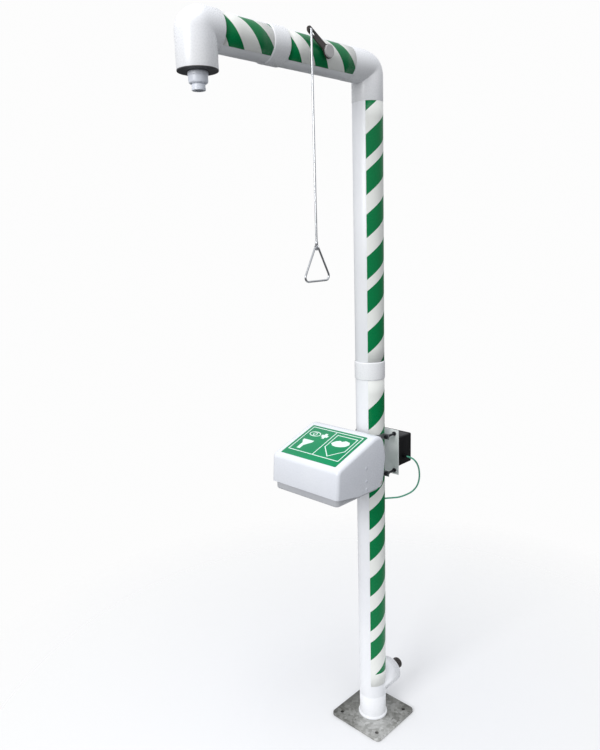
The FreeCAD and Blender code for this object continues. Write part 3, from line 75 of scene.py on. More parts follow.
def startMaterial(name):
    material = bpy.data.materials.new(name)
    material.use_nodes = True
    tree = material.node_tree
    shader = tree.nodes["Principled BSDF"]
    place = tree.nodes.new("ShaderNodeTexCoord")
    return material, tree, shader, place.outputs["Object"]


def addNoise(tree, place, scale, detail=3, stretch=None):
    noise = tree.nodes.new("ShaderNodeTexNoise")
    noise.inputs["Scale"].default_value = scale
    noise.inputs["Detail"].default_value = detail
    if stretch:
        mapping = tree.nodes.new("ShaderNodeMapping")
        mapping.inputs["Scale"].default_value = stretch
        tree.links.new(place, mapping.inputs["Vector"])
        place = mapping.outputs["Vector"]
    tree.links.new(place, noise.inputs["Vector"])
    return noise.outputs["Fac"]


def addRange(tree, value, low, high, fromLow=0.3, fromHigh=0.7):
    spread = tree.nodes.new("ShaderNodeMapRange")
    for socket, number in (("From Min", fromLow), ("From Max", fromHigh), ("To Min", low), ("To Max", high)):
        spread.inputs[socket].default_value = number
    tree.links.new(value, spread.inputs["Value"])
    return spread.outputs["Result"]


def addRamp(tree, value, stops, interpolation="LINEAR"):
    node = tree.nodes.new("ShaderNodeValToRGB")
    ramp = node.color_ramp
    ramp.interpolation = interpolation
    while len(ramp.elements) < len(stops):
        ramp.elements.new(1.0)
    for element, (position, color) in zip(ramp.elements, stops):
        element.position = position
        element.color = (*color, 1)
    tree.links.new(value, node.inputs["Fac"])
    return node.outputs["Color"]


def addBump(tree, shader, height, depth):
    bump = tree.nodes.new("ShaderNodeBump")
    bump.inputs["Distance"].default_value = depth
    bump.inputs["Strength"].default_value = 0.5
    tree.links.new(height, bump.inputs["Height"])
    tree.links.new(bump.outputs["Normal"], shader.inputs["Normal"])


# color and tint alternate in patches, rough is a range over a finer grain, depth is the grain's height in mm
def makeFinish(name, color, tint, rough, metal=0.0, patch=6, grain=900, depth=0.02, stretch=None, shine=0.5):
    material, tree, shader, place = startMaterial(name)
    shader.inputs["Metallic"].default_value = metal
    shader.inputs["Specular IOR Level"].default_value = shine
    patches = addNoise(tree, place, patch, 4)
    fine = addNoise(tree, place, grain, 2, stretch)
    tree.links.new(addRamp(tree, patches, [(0.35, color), (0.65, tint)]), shader.inputs["Base Color"])
    tree.links.new(addRange(tree, fine, rough[0], rough[1]), shader.inputs["Roughness"])
    addBump(tree, shader, fine, depth * mm)
    return material


finishes = {
    "jacket": makeFinish("jacket", (0.86, 0.87, 0.89), (0.82, 0.83, 0.86), (0.26, 0.36), patch=4, grain=320,
                         depth=0.12),
    "fittingWhite": makeFinish("fittingWhite", (0.88, 0.885, 0.90), (0.84, 0.85, 0.88), (0.24, 0.32), patch=5,
                               grain=260, depth=0.10),
    "lid": makeFinish("lid", (0.82, 0.84, 0.885), (0.78, 0.80, 0.855), (0.22, 0.32), patch=5, grain=420, depth=0.06),
    # cap is painted shade: a greyer copy of the lid's white, so the white screw caps read as shaded
    "cap": makeFinish("cap", (0.66, 0.68, 0.73), (0.60, 0.62, 0.68), (0.2, 0.3), patch=30, grain=700, depth=0.04),
    "bowl": makeFinish("bowl", (0.52, 0.53, 0.55), (0.46, 0.47, 0.50), (0.32, 0.42), patch=8, grain=500, depth=0.08),
    "seal": makeFinish("seal", (0.055, 0.056, 0.06), (0.04, 0.04, 0.045), (0.55, 0.7), patch=20, grain=900,
                       depth=0.12),
    "nozzle": makeFinish("nozzle", (0.76, 0.79, 0.86), (0.72, 0.75, 0.82), (0.26, 0.36), patch=20, grain=500,
                         depth=0.06),
    "lever": makeFinish("lever", (0.030, 0.022, 0.020), (0.055, 0.042, 0.038), (0.32, 0.5), patch=60, grain=1200,
                        depth=0.06),
    "hub": makeFinish("hub", (0.50, 0.49, 0.49), (0.44, 0.43, 0.43), (0.36, 0.46), patch=40, grain=900, depth=0.05),
    "rod": makeFinish("rod", (0.62, 0.63, 0.65), (0.52, 0.53, 0.55), (0.22, 0.36), metal=1.0, patch=30, grain=300,
                      depth=0.02, stretch=(1, 1, 0.04)),
    "bolt": makeFinish("bolt", (0.06, 0.06, 0.07), (0.03, 0.03, 0.035), (0.3, 0.5), metal=0.8, patch=80, grain=900,
                       depth=0.05),
    "strap": makeFinish("strap", (0.50, 0.51, 0.52), (0.40, 0.41, 0.42), (0.34, 0.5), metal=0.9, patch=50, grain=600,
                        depth=0.05),
    "plate": makeFinish("plate", (0.86, 0.90, 0.885), (0.80, 0.84, 0.825), (0.42, 0.55), patch=14, grain=700,
                        depth=0.1),
    "box": makeFinish("box", (0.006, 0.006, 0.007), (0.010, 0.010, 0.011), (0.34, 0.5), patch=30, grain=1400,
                      depth=0.12, shine=0.22),
    "steel": makeFinish("steel", (0.55, 0.56, 0.57), (0.45, 0.46, 0.47), (0.25, 0.42), metal=1.0, patch=24, grain=260,
                        depth=0.03, stretch=(0.1, 1, 1)),
    "pipe": makeFinish("pipe", (0.36, 0.37, 0.38), (0.28, 0.285, 0.29), (0.4, 0.6), metal=0.9, patch=30, grain=400,
                       depth=0.08),
    "iron": makeFinish("iron", (0.30, 0.305, 0.31), (0.22, 0.22, 0.23), (0.5, 0.7), metal=0.8, patch=40, grain=260,
                       depth=0.25),
    "brass": makeFinish("brass", (0.68, 0.50, 0.22), (0.56, 0.40, 0.17), (0.26, 0.42), metal=1.0, patch=40, grain=400,
                        depth=0.04),
    "nipple": makeFinish("nipple", (0.05, 0.045, 0.042), (0.11, 0.10, 0.095), (0.4, 0.6), metal=0.7, patch=90,
                         grain=500, depth=0.1),
    "rubber": makeFinish("rubber", (0.02, 0.02, 0.022), (0.03, 0.03, 0.032), (0.6, 0.8), patch=30, grain=700,
                         depth=0.2),
    "sprayCup": makeFinish("sprayCup", (0.01, 0.16, 0.09), (0.012, 0.12, 0.07), (0.35, 0.5), patch=30, grain=700,
                           depth=0.08),
    "terminal": makeFinish("terminal", (0.42, 0.43, 0.42), (0.36, 0.37, 0.36), (0.4, 0.55), patch=40, grain=900,
                           depth=0.05),
    "signGreen": makeFinish("signGreen", (0.0, 0.27, 0.105), (0.0, 0.24, 0.095), (0.30, 0.42), patch=14, grain=600,
                            depth=0.03, shine=0.22),
    "signWhite": makeFinish("signWhite", (0.80, 0.93, 0.88), (0.74, 0.90, 0.84), (0.24, 0.34), patch=14, grain=600,
                            depth=0.03),
    "lead": makeFinish("lead", (0.10, 0.44, 0.29), (0.075, 0.37, 0.235), (0.34, 0.46), patch=60, grain=900,
                       depth=0.05),
}


# the zinc look paints light and shade: a painted highlight around a spot in front of the column, and painted shade
# darkening the plate towards its edges
zinc = {
    "metal": 0.55, "spangle": 95, "clouds": 11, "blend": 0.72,
    "tones": [(0.32, (0.22, 0.22, 0.205)), (0.5, (0.40, 0.40, 0.38)), (0.68, (0.60, 0.60, 0.585))],
    "bright": (0.06, -0.06, 0), "brightFrom": 0.05, "paintedShadeRadius": 0.19,  # metres from the bright spot in front
    "paintedShadeTone": (0.34, 0.34, 0.325),
}


def makeGalvanised():
    material, tree, shader, place = startMaterial("galvanised")
    shader.inputs["Metallic"].default_value = zinc["metal"]
    spangle = tree.nodes.new("ShaderNodeTexVoronoi")
    spangle.inputs["Scale"].default_value = zinc["spangle"]
    tree.links.new(place, spangle.inputs["Vector"])
    crystal = tree.nodes.new("ShaderNodeRGBToBW")
    tree.links.new(spangle.outputs["Color"], crystal.inputs["Color"])
    clouds = addNoise(tree, place, zinc["clouds"], 7)
    blend = tree.nodes.new("ShaderNodeMix")
    blend.inputs["Factor"].default_value = zinc["blend"]
    tree.links.new(crystal.outputs["Val"], blend.inputs["A"])
    tree.links.new(clouds, blend.inputs["B"])
    mottle = blend.outputs["Result"]
    spangled = addRamp(tree, mottle, zinc["tones"])
    # painted highlight and painted shade: the spangled colour is multiplied down with distance from the bright spot,
    # so the plate darkens towards its edges
    distance = tree.nodes.new("ShaderNodeVectorMath")
    distance.operation = "DISTANCE"
    distance.inputs[1].default_value = zinc["bright"]
    tree.links.new(place, distance.inputs[0])
    paintedEdgeShade = tree.nodes.new("ShaderNodeMix")
    paintedEdgeShade.data_type = "RGBA"
    paintedEdgeShade.blend_type = "MULTIPLY"
    paintedEdgeShade.inputs["B"].default_value = (*zinc["paintedShadeTone"], 1)
    fade = addRange(tree, distance.outputs["Value"], 0, 1, zinc["brightFrom"], zinc["paintedShadeRadius"])
    tree.links.new(fade, paintedEdgeShade.inputs["Factor"])
    tree.links.new(spangled, paintedEdgeShade.inputs["A"])
    tree.links.new(paintedEdgeShade.outputs["Result"], shader.inputs["Base Color"])
    tree.links.new(addRange(tree, mottle, 0.55, 0.36), shader.inputs["Roughness"])
    addBump(tree, shader, mottle, 0.25 * mm)
    return material


finishes["galvanised"] = makeGalvanised()

tapeLook = {
    "green": (0.0, 0.185, 0.055), "white": (0.82, 0.83, 0.80), "shine": 0.22,
    "greenFrom": 0.203,  # the strip's foot below this height is plain
    "greenWidth": 0.075, "armGreenWidth": 0.054,
    "columnCentres": (0.172, 0.321, 0.443, 0.584, 0.727, 0.846, 0.970, 1.095, 1.222, 1.349, 1.494, 1.627, 1.743,
                      1.877, 2.015, 2.128, 2.272),
    "armCentres": (0.161, 0.290, 0.400, 0.500, 0.614),
}


def makeTape(name, centres, greenWidth, span):
    material, tree, shader, place = startMaterial(name)
    own = tree.nodes.new("ShaderNodeUVMap")
    own.uv_map = "along"
    split = tree.nodes.new("ShaderNodeSeparateXYZ")
    tree.links.new(own.outputs["UV"], split.inputs["Vector"])
    along = addRange(tree, split.outputs["X"], 0, 1, span[0], span[1])
    ramp = [(0.0, tapeLook["white"])]
    for centre in centres:
        low, high = ((centre + side * greenWidth / 2 - span[0]) / (span[1] - span[0]) for side in (-1, 1))
        ramp += [(max(low, 0.0), tapeLook["green"]), (min(high, 1.0), tapeLook["white"])]
    stripes = addRamp(tree, along, ramp, "CONSTANT")
    shader.inputs["Specular IOR Level"].default_value = tapeLook["shine"]
    height = tree.nodes.new("ShaderNodeSeparateXYZ")
    tree.links.new(place, height.inputs["Vector"])
    above = tree.nodes.new("ShaderNodeMath")
    above.operation = "GREATER_THAN"
    above.inputs[1].default_value = tapeLook["greenFrom"]
    tree.links.new(height.outputs["Z"], above.inputs[0])
    colored = tree.nodes.new("ShaderNodeMix")
    colored.data_type = "RGBA"
    colored.inputs["A"].default_value = (*tapeLook["white"], 1)
    tree.links.new(above.outputs["Value"], colored.inputs["Factor"])
    tree.links.new(stripes, colored.inputs["B"])
    tree.links.new(colored.outputs["Result"], shader.inputs["Base Color"])
    fine = addNoise(tree, place, 500, 3)
    tree.links.new(addRange(tree, fine, 0.2, 0.32), shader.inputs["Roughness"])
    addBump(tree, shader, fine, 0.03 * mm)
    return material


finishes["tapeLow"] = makeTape("tapeLow", tapeLook["columnCentres"][:9], tapeLook["greenWidth"], (0.0, 1.35))
finishes["tapeHigh"] = makeTape("tapeHigh", tapeLook["columnCentres"][9:], tapeLook["greenWidth"], (1.2, 2.4))
finishes["tapeArm"] = makeTape("tapeArm", tapeLook["armCentres"], tapeLook["armGreenWidth"], (0.0, 0.75))
print("materials made:", len(finishes))

# shapes and how a piece joins the frame


def addPiece(mesh, name, finish, body, replaced=(), sharp=35):
    if isinstance(mesh, bmesh.types.BMesh):
        solid = bpy.data.meshes.new(name)
        mesh.to_mesh(solid)
        mesh.free()
        mesh = solid
    mesh.shade_smooth()
    mesh.set_sharp_from_angle(angle=math.radians(sharp))
    mesh.materials.clear()
    mesh.materials.append(finishes[finish])
    piece = bpy.data.objects.new(name, mesh)
    bpy.context.scene.collection.objects.link(piece)
    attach(piece, body)
    if replaced:
        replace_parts(piece, *replaced)
    return piece


def roundEdges(bm, width, segments=3, steeper=30, chosen=None, clamp=True):
    edges = chosen if chosen is not None else [
        edge for edge in bm.edges if edge.is_manifold and edge.calc_face_angle() > math.radians(steeper)]
    bmesh.ops.bevel(bm, geom=edges, offset=width, offset_type="OFFSET", segments=segments, profile=0.5,
                    affect="EDGES", material=-1, clamp_overlap=clamp)


def pushOut(bm, faces, way):
    moved = bmesh.ops.extrude_face_region(bm, geom=faces)["geom"]
    bmesh.ops.translate(bm, vec=way, verts=[item for item in moved if isinstance(item, bmesh.types.BMVert)])
    bmesh.ops.recalc_face_normals(bm, faces=bm.faces)


def giveWall(piece, thickness, softness=0.0, steeper=50, offset=-1):
    wall = piece.modifiers.new("wall", "SOLIDIFY")
    wall.thickness = thickness
    wall.offset = offset
    if softness:
        soft = piece.modifiers.new("softRim", "BEVEL")
        soft.width = softness
        soft.segments = 2
        soft.angle_limit = math.radians(steeper)


def latheShape(profile, rounding=0.0, steps=96):
    bm = bmesh.new()
    verts = [bm.verts.new((radius, 0, height)) for radius, height in profile]
    edges = [bm.edges.new(pair) for pair in zip(verts, verts[1:] + verts[:1])]
    bmesh.ops.spin(bm, geom=verts + edges, cent=(0, 0, 0), axis=(0, 0, 1), dvec=(0, 0, 0), angle=math.tau,
                   steps=steps, use_merge=True, use_duplicate=False)
    bmesh.ops.remove_doubles(bm, verts=bm.verts, dist=1e-6)
    bmesh.ops.recalc_face_normals(bm, faces=bm.faces)
    if rounding:
        roundEdges(bm, rounding)
    return bm


turns = {
    "z": Matrix.Identity(4), "y": Matrix.Rotation(math.radians(-90), 4, "X"),
    "-y": Matrix.Rotation(math.radians(90), 4, "X"), "x": Matrix.Rotation(math.radians(90), 4, "Y"),
    "-x": Matrix.Rotation(math.radians(-90), 4, "Y"),
}


def moveTo(bm, place, way="z"):
    bmesh.ops.transform(bm, matrix=Matrix.Translation(place) @ turns[way], verts=bm.verts)
    return bm


def tubeShape(outer, inner, start, end, rounding):
    return latheShape([(outer, start), (outer, end), (inner, end), (inner, start)], rounding)


def joinShapes(shapes):
    whole = bmesh.new()
    for shape in shapes:
        scratch = bpy.data.meshes.new("scratch")
        shape.to_mesh(scratch)
        shape.free()
        whole.from_mesh(scratch)
        bpy.data.meshes.remove(scratch)
    return whole


def blockShape(low, high, rounding=0.0, segments=3, corner=0.0, cornerAxis=2, cornerSegments=6):
    bm = bmesh.new()
    bmesh.ops.create_cube(bm, size=1)
    size = Vector(high) - Vector(low)
    middle = (Vector(high) + Vector(low)) / 2
    bmesh.ops.scale(bm, vec=size, verts=bm.verts)
    bmesh.ops.translate(bm, vec=middle, verts=bm.verts)
    if corner:
        along = [edge for edge in bm.edges
                 if abs((edge.verts[1].co - edge.verts[0].co).normalized()[cornerAxis]) > 0.99]
        roundEdges(bm, corner, cornerSegments, chosen=along)
    if rounding:
        roundEdges(bm, rounding, segments)
    return bm


# earth lead, from the gland down to the column

leadRoute = {
    "diameter": 0.006, "length": 0.331,
    "points": [(0.092, 0.090, 1.049), (0.112, 0.090, 1.049), (0.124, 0.099, 1.037), (0.122, 0.120, 1.012),
               (0.114, 0.140, 0.982), (0.104, 0.155, 0.948), (0.092, 0.160, 0.916), (0.079, 0.150, 0.894),
               (0.066, 0.127, 0.884), (0.055, 0.094, 0.881), (0.0443, 0.0567, 0.888), (0.0297, 0.038, 0.888)],
}


def addLead():
    curve = bpy.data.curves.new("earthLead", "CURVE")
    curve.dimensions = "3D"
    spline = curve.splines.new("NURBS")
    spline.points.add(len(leadRoute["points"]) - 1)
    for point, place in zip(spline.points, leadRoute["points"]):
        point.co = (*place, 1)
    spline.order_u = 3
    spline.use_endpoint_u = True
    spline.resolution_u = 16
    curve.bevel_depth = leadRoute["diameter"] / 2
    curve.bevel_resolution = 5
    curve.use_fill_caps = True
    lead = bpy.data.objects.new("earthLead", curve)
    bpy.context.scene.collection.objects.link(lead)
    curve.materials.append(finishes["lead"])
    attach(lead, "stand")
    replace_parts(lead, "earth_lead")


addLead()
print("lead placed")

# column and arm jackets with their bands

jacket = {"radius": 0.05, "wall": 0.002, "edge": 0.0006, "armHeight": 2.35, "columnJoint": 1.373, "bendJoint": 2.247,
          "footJoint": 0.100, "bendEnd": 0.112, "armJoint": 0.424, "bandHalf": 0.031, "bandRadius": 0.0525,
          "bandWall": 0.0020, "bandSlope": 0.003, "bandGap": 0.0003}


def addJackets():
    outer, inner, edge = jacket["radius"], jacket["radius"] - jacket["wall"], jacket["edge"]
    arm = jacket["armHeight"]
    addPiece(tubeShape(outer, inner, jacket["footJoint"], jacket["columnJoint"], edge), "lowerJacket", "jacket",
             "stand", ["lower_jacket"])
    addPiece(tubeShape(outer, inner, jacket["columnJoint"], jacket["bendJoint"], edge), "upperJacket", "jacket",
             "stand", ["upper_jacket"])
    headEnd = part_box("arm_jacket_front")[0].y
    for name, node, start, end in (("armJacketRear", "arm_jacket_rear", jacket["bendEnd"], jacket["armJoint"]),
                                   ("armJacketFront", "arm_jacket_front", jacket["armJoint"], -headEnd)):
        shape = tubeShape(outer, inner, start, end, edge)
        addPiece(moveTo(shape, (0, 0, arm), "-y"), name, "jacket", "stand", [node])
    crown, seat = jacket["bandRadius"], outer + jacket["bandGap"]
    shoulder = crown - jacket["bandWall"]
    half, flat = jacket["bandHalf"], jacket["bandHalf"] - jacket["bandSlope"]
    band = [(shoulder, -half), (crown, -flat), (crown, flat), (shoulder, half), (seat, half), (seat, -half)]
    column = moveTo(latheShape(band, 0.0005), (0, 0, jacket["columnJoint"]))
    onArm = moveTo(latheShape(band, 0.0005), (0, -jacket["armJoint"], arm), "-y")
    addPiece(joinShapes([column, onArm]), "couplerBands", "fittingWhite", "stand", ["coupler_bands"])


addJackets()

elbows = {  # outer is the bend's radius along its back, inner the one in its crease
    "top": {"name": "topBend", "node": "top_bend_jacket", "radius": 0.0506, "outer": 0.100, "axisY": 0.0,
            "low": 2.2465, "side": -0.1125},
    "head": {"name": "headElbow", "node": "head_elbow_jacket", "radius": 0.053, "outer": 0.068, "axisY": -0.680,
             "low": 2.250, "side": -0.624},
}
elbowMake = {"around": 96, "bend": 24, "power": 2.5, "inner": 0.0006, "wall": 0.0022, "softness": 0.0005}


def elbowShape(look):
    bend = elbowMake["bend"]
    bm = bmesh.new()
    bmesh.ops.create_grid(bm, x_segments=elbowMake["around"], y_segments=bend + 2, size=1)
    toArm = 1 if look["side"] > look["axisY"] else -1
    height = jacket["armHeight"]
    for vert in bm.verts:
        turn = (vert.co.x + 1) / 2 * math.tau
        step = round((vert.co.y + 1) / 2 * (bend + 2))
        inward = math.cos(turn)
        corner = look["outer"] * ((1 - inward) / 2) ** elbowMake["power"] + elbowMake["inner"]
        cornerY = look["axisY"] + toArm * look["radius"] * inward
        cornerZ = height - look["radius"] * inward
        angle = math.pi / 2 * (step - 1) / bend
        if step == 0:
            y, z = cornerY, look["low"]
        elif step == bend + 2:
            y, z = look["side"], cornerZ
        else:
            y = cornerY + toArm * corner * (1 - math.cos(angle))
            z = cornerZ - corner * (1 - math.sin(angle))
        vert.co = (look["radius"] * math.sin(turn), y, z)
    bmesh.ops.remove_doubles(bm, verts=bm.verts, dist=1e-6)
    bmesh.ops.recalc_face_normals(bm, faces=bm.faces)
    return bm


def addElbow(look):
    bm = elbowShape(look)
    side = next(face for face in bm.faces if abs(face.calc_center_median().z - look["low"] - 0.02) < 0.05)
    middle = side.calc_center_median()
    if side.normal.dot(middle - Vector((0, look["axisY"], middle.z))) < 0:  # the skin may come out inside out
        bmesh.ops.reverse_faces(bm, faces=bm.faces)
    elbow = addPiece(bm, look["name"], "fittingWhite", "stand", [look["node"]], sharp=28)
    giveWall(elbow, elbowMake["wall"], elbowMake["softness"], steeper=60)


for look in elbows.values():
    addElbow(look)
print("jacket and elbows placed")

# base plate with its weld ring

plate = {"top": 0.010, "corner": 0.018, "edge": 0.0012, "hole": 0.007, "holeEdge": 0.0008, "boltOffset": 0.084,
         "ringOuter": 0.0299, "ringInner": 0.0213, "ringTop": 0.044, "ringFoot": 0.009}


def ellipsePoints(x, y, across, tall, count=40):
    return [(x + across * math.cos(math.tau * step / count), y + tall * math.sin(math.tau * step / count))
            for step in range(count)]


def roundedSquare(half, corner, steps=8):
    points = []
    for quarter in range(4):
        side = math.pi / 2 * quarter
        middle = Matrix.Rotation(side, 2) @ Vector((half - corner, half - corner))
        for step in range(steps + 1):
            turn = side + math.pi / 2 * step / steps
            points.append((middle.x + corner * math.cos(turn), middle.y + corner * math.sin(turn)))
    return points


def addPlate():
    half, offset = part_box("base_plate")[1].x, plate["boltOffset"]
    bore, hole = plate["ringInner"], plate["hole"]
    outlines = [roundedSquare(half, plate["corner"]), ellipsePoints(0, 0, bore, bore, 48)]
    outlines += [ellipsePoints(offset * x, offset * y, hole, hole, 32) for x in (-1, 1) for y in (-1, 1)]
    bm = bmesh.new()
    edges = []
    for outline in outlines:
        verts = [bm.verts.new((x, y, 0)) for x, y in outline]
        edges += [bm.edges.new(pair) for pair in zip(verts, verts[1:] + verts[:1])]
    bmesh.ops.triangle_fill(bm, edges=edges, use_beauty=True, use_dissolve=False)
    pushOut(bm, bm.faces[:], (0, 0, plate["top"]))
    rims = [edge for edge in bm.edges if edge.is_manifold and edge.calc_face_angle() > math.radians(60)
            and abs(edge.verts[0].co.z - edge.verts[1].co.z) < 1e-5]
    outer = [edge for edge in rims if edge.verts[0].co.length > offset * 1.35
             and max(abs(edge.verts[0].co.x), abs(edge.verts[0].co.y)) > half - plate["corner"] - 1e-4]
    inner = [edge for edge in rims if edge not in outer]
    roundEdges(bm, plate["edge"], 3, chosen=outer)
    roundEdges(bm, plate["holeEdge"], 2, chosen=[edge for edge in inner if edge.is_valid])
    ring = latheShape([(plate["ringInner"], plate["ringFoot"]), (plate["ringOuter"], plate["ringFoot"]),
                       (plate["ringOuter"], plate["ringTop"]), (plate["ringInner"], plate["ringTop"])], 0.0006,
                      steps=64)
    addPiece(joinShapes([bm, ring]), "basePlate", "galvanised", "stand", ["base_plate"], sharp=40)


addPlate()

# foot collar, inlet branch and shower nozzle

foot = {"lip": 0.055, "lipTop": 0.018, "bottom": 0.010, "inner": 0.048}
inlet = {"height": 0.135, "end": 0.112, "cap": 0.116, "threadRadius": 0.02095, "threadDepth": 0.0011, "pitch": 0.0023,
         "bore": 0.0178}


def addFoot():
    radius = jacket["radius"]
    lip, lipTop = foot["lip"], foot["lipTop"]
    profile = [(lip, foot["bottom"]), (lip, lipTop - 0.003), (lip - 0.0025, lipTop), (radius, lipTop + 0.0008),
               (radius, jacket["footJoint"]), (foot["inner"], jacket["footJoint"]), (foot["inner"], foot["bottom"])]
    addPiece(latheShape(profile, 0.0006), "footCollar", "fittingWhite", "stand", ["foot_collar"])


def addInlet():
    radius = jacket["radius"]
    stub = bmesh.new()
    bmesh.ops.create_cone(stub, cap_ends=False, segments=96, radius1=radius, radius2=radius, depth=1)
    moveTo(stub, (0, 0.5, inlet["height"]), "y")
    for vert in stub.verts:
        saddle = math.sqrt(max((radius + 0.0006) ** 2 - vert.co.x ** 2, 0))
        vert.co.y = saddle if vert.co.y < 0.5 else inlet["end"]
    bmesh.ops.recalc_face_normals(stub, faces=stub.faces)
    rim = addPiece(stub, "inletBranch", "fittingWhite", "stand", ["inlet_branch_jacket"])
    giveWall(rim, jacket["wall"])
    bead = latheShape([(radius - 0.002, -0.002), (radius + 0.0008, -0.002), (radius + 0.0022, 0.0008),
                       (radius + 0.0008, 0.0035), (radius - 0.002, 0.0035)], 0.0006, steps=96)
    for vert in bead.verts:
        reach = math.sqrt(max((radius + 0.0004) ** 2 - min(abs(vert.co.x), radius) ** 2, 0))
        vert.co.z += reach
    moveTo(bead, (0, 0, inlet["height"]), "y")
    addPiece(bead, "branchWeld", "fittingWhite", "stand")
    cap = latheShape([(0.0216, 0.0), (radius, 0.0), (radius, 0.0012), (radius - 0.0028, 0.004), (0.0228, 0.004),
                      (0.0216, 0.0028)], 0.0005)
    addPiece(moveTo(cap, (0, inlet["end"], inlet["height"]), "y"), "inletEndCap", "fittingWhite", "stand",
             ["inlet_end_cap"])
    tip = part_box("inlet_nipple")[1].y
    profile = [(inlet["bore"], 0.03), (0.0211, 0.03), (0.0211, inlet["cap"])]
    crest = inlet["cap"] + 0.001
    while crest < tip - inlet["pitch"]:
        profile += [(inlet["threadRadius"] - inlet["threadDepth"], crest),
                    (inlet["threadRadius"], crest + inlet["pitch"] * 0.5)]
        crest += inlet["pitch"]
    profile += [(inlet["threadRadius"] - inlet["threadDepth"] * 1.4, tip), (inlet["bore"], tip)]
    nipple = latheShape(profile, steps=72)
    addPiece(moveTo(nipple, (0, 0, inlet["height"]), "y"), "inletNipple", "nipple", "stand", ["inlet_nipple"],
             sharp=50)


nozzle = {"y": -0.680, "top": 2.247, "step": 2.2185, "tip": 2.202, "radius": 0.026, "tipRadius": 0.0178}


def addNozzle():
    place = (0, nozzle["y"], 0)
    radius, tip, top, step, end = (nozzle[key] for key in ("radius", "tipRadius", "top", "step", "tip"))
    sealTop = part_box("head_seal_disc")[1].z
    seal = latheShape([(0.018, sealTop - 0.003), (0.0522, sealTop - 0.003), (0.0527, sealTop - 0.002),
                       (0.0527, sealTop), (0.018, sealTop)], 0.0005)
    addPiece(moveTo(seal, place), "headSeal", "seal", "stand", ["head_seal_disc"])
    barrel = latheShape([(0.012, top), (radius - 0.001, top), (radius, top - 0.0015), (radius, top - 0.0095),
                         (radius - 0.001, top - 0.0105), (radius - 0.001, step + 0.006),
                         (radius - 0.0022, step + 0.0015), (tip + 0.003, step - 0.0005), (0.012, step - 0.0005)],
                        0.0005)
    addPiece(moveTo(barrel, place), "nozzleBody", "nozzle", "stand", ["nozzle_body"])
    outlet = latheShape([(tip - 0.0006, step), (tip - 0.0006, end + 0.007), (tip, end + 0.006), (tip, end + 0.001),
                         (tip - 0.001, end), (0.0115, end), (0.0105, end + 0.003), (0.0105, step)], 0.0004)
    addPiece(moveTo(outlet, place), "nozzleTip", "nozzle", "stand", ["nozzle_tip"])


addFoot()
addInlet()
addNozzle()
print("foot, inlet and nozzle placed")

# warning tape on the side that faces the user

tape = {"radius": 0.05028, "thick": 0.00030, "slope": 0.84, "armSlope": 0.92, "columnFrom": 31, "columnTo": 131.8,
        "reference": 60, "armFrom": -49.4, "armTo": 51.4}


def tapeStrip(start, end, fromAngle, toAngle, slope, zeroAngle):
    bm = bmesh.new()
    rows = max(2, round((end - start) / 0.05))
    bmesh.ops.create_grid(bm, x_segments=48, y_segments=rows, size=1)
    layer = bm.loops.layers.uv.new("along")
    for vert in bm.verts:
        turn = math.radians(fromAngle + (vert.co.x + 1) / 2 * (toAngle - fromAngle))
        vert.co = (turn, 0, start + (vert.co.y + 1) / 2 * (end - start))
    for face in bm.faces:
        for loop in face.loops:
            around = tape["radius"] * (loop.vert.co.x - math.radians(zeroAngle))
            loop[layer].uv = (loop.vert.co.z - slope * around, around)
    for vert in bm.verts:
        turn = vert.co.x
        vert.co = (tape["radius"] * math.sin(turn), -tape["radius"] * math.cos(turn), vert.co.z)
    return bm


def finishTape(bm, name, finish):
    bmesh.ops.recalc_face_normals(bm, faces=bm.faces)
    sheet = addPiece(bm, name, finish, "stand")
    giveWall(sheet, tape["thick"], offset=0)
    return sheet


def addTape():
    low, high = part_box("column_tape")
    joint = jacket["columnJoint"]
    gap = jacket["bandHalf"] + 0.001
    around = (tape["columnFrom"], tape["columnTo"], tape["slope"], tape["reference"])
    lower = finishTape(tapeStrip(low.z, joint - gap, *around), "columnTapeLow", "tapeLow")
    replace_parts(lower, "column_tape")
    finishTape(tapeStrip(joint + gap, high.z, *around), "columnTapeHigh", "tapeHigh")
    near, far = -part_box("arm_tape")[1].y, -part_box("arm_tape")[0].y
    arm = []
    for start, end in ((near, jacket["armJoint"] - gap), (jacket["armJoint"] + gap, far)):
        strip = tapeStrip(start, end, tape["armFrom"], tape["armTo"], tape["armSlope"], 0)
        toArm = Matrix(((0, -1, 0, 0), (0, 0, -1, 0), (1, 0, 0, jacket["armHeight"]), (0, 0, 0, 1)))
        bmesh.ops.transform(strip, matrix=toArm, verts=strip.verts)
        arm.append(strip)
    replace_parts(finishTape(joinShapes(arm), "armTape", "tapeArm"), "arm_tape")


addTape()
print("tape placed")

# pull rod and triangle handle


def barAlong(points, radius, closed=False, sides=5):
    curve = bpy.data.curves.new("bar", "CURVE")
    curve.dimensions = "3D"
    spline = curve.splines.new("POLY")
    spline.points.add(len(points) - 1)
    for point, place in zip(spline.points, points):
        point.co = (*place, 1)
    spline.use_cyclic_u = closed
    curve.bevel_depth = radius
    curve.bevel_resolution = sides
    curve.use_fill_caps = True
    holder = bpy.data.objects.new("bar", curve)
    bpy.context.scene.collection.objects.link(holder)
    bpy.context.view_layer.update()
    mesh = bpy.data.meshes.new_from_object(holder.evaluated_get(bpy.context.evaluated_depsgraph_get()))
    bpy.data.objects.remove(holder)
    bpy.data.curves.remove(curve)
    bm = bmesh.new()
    bm.from_mesh(mesh)
    bpy.data.meshes.remove(mesh)
    bmesh.ops.remove_doubles(bm, verts=bm.verts, dist=1e-6)
    bmesh.ops.recalc_face_normals(bm, faces=bm.faces)
    return bm


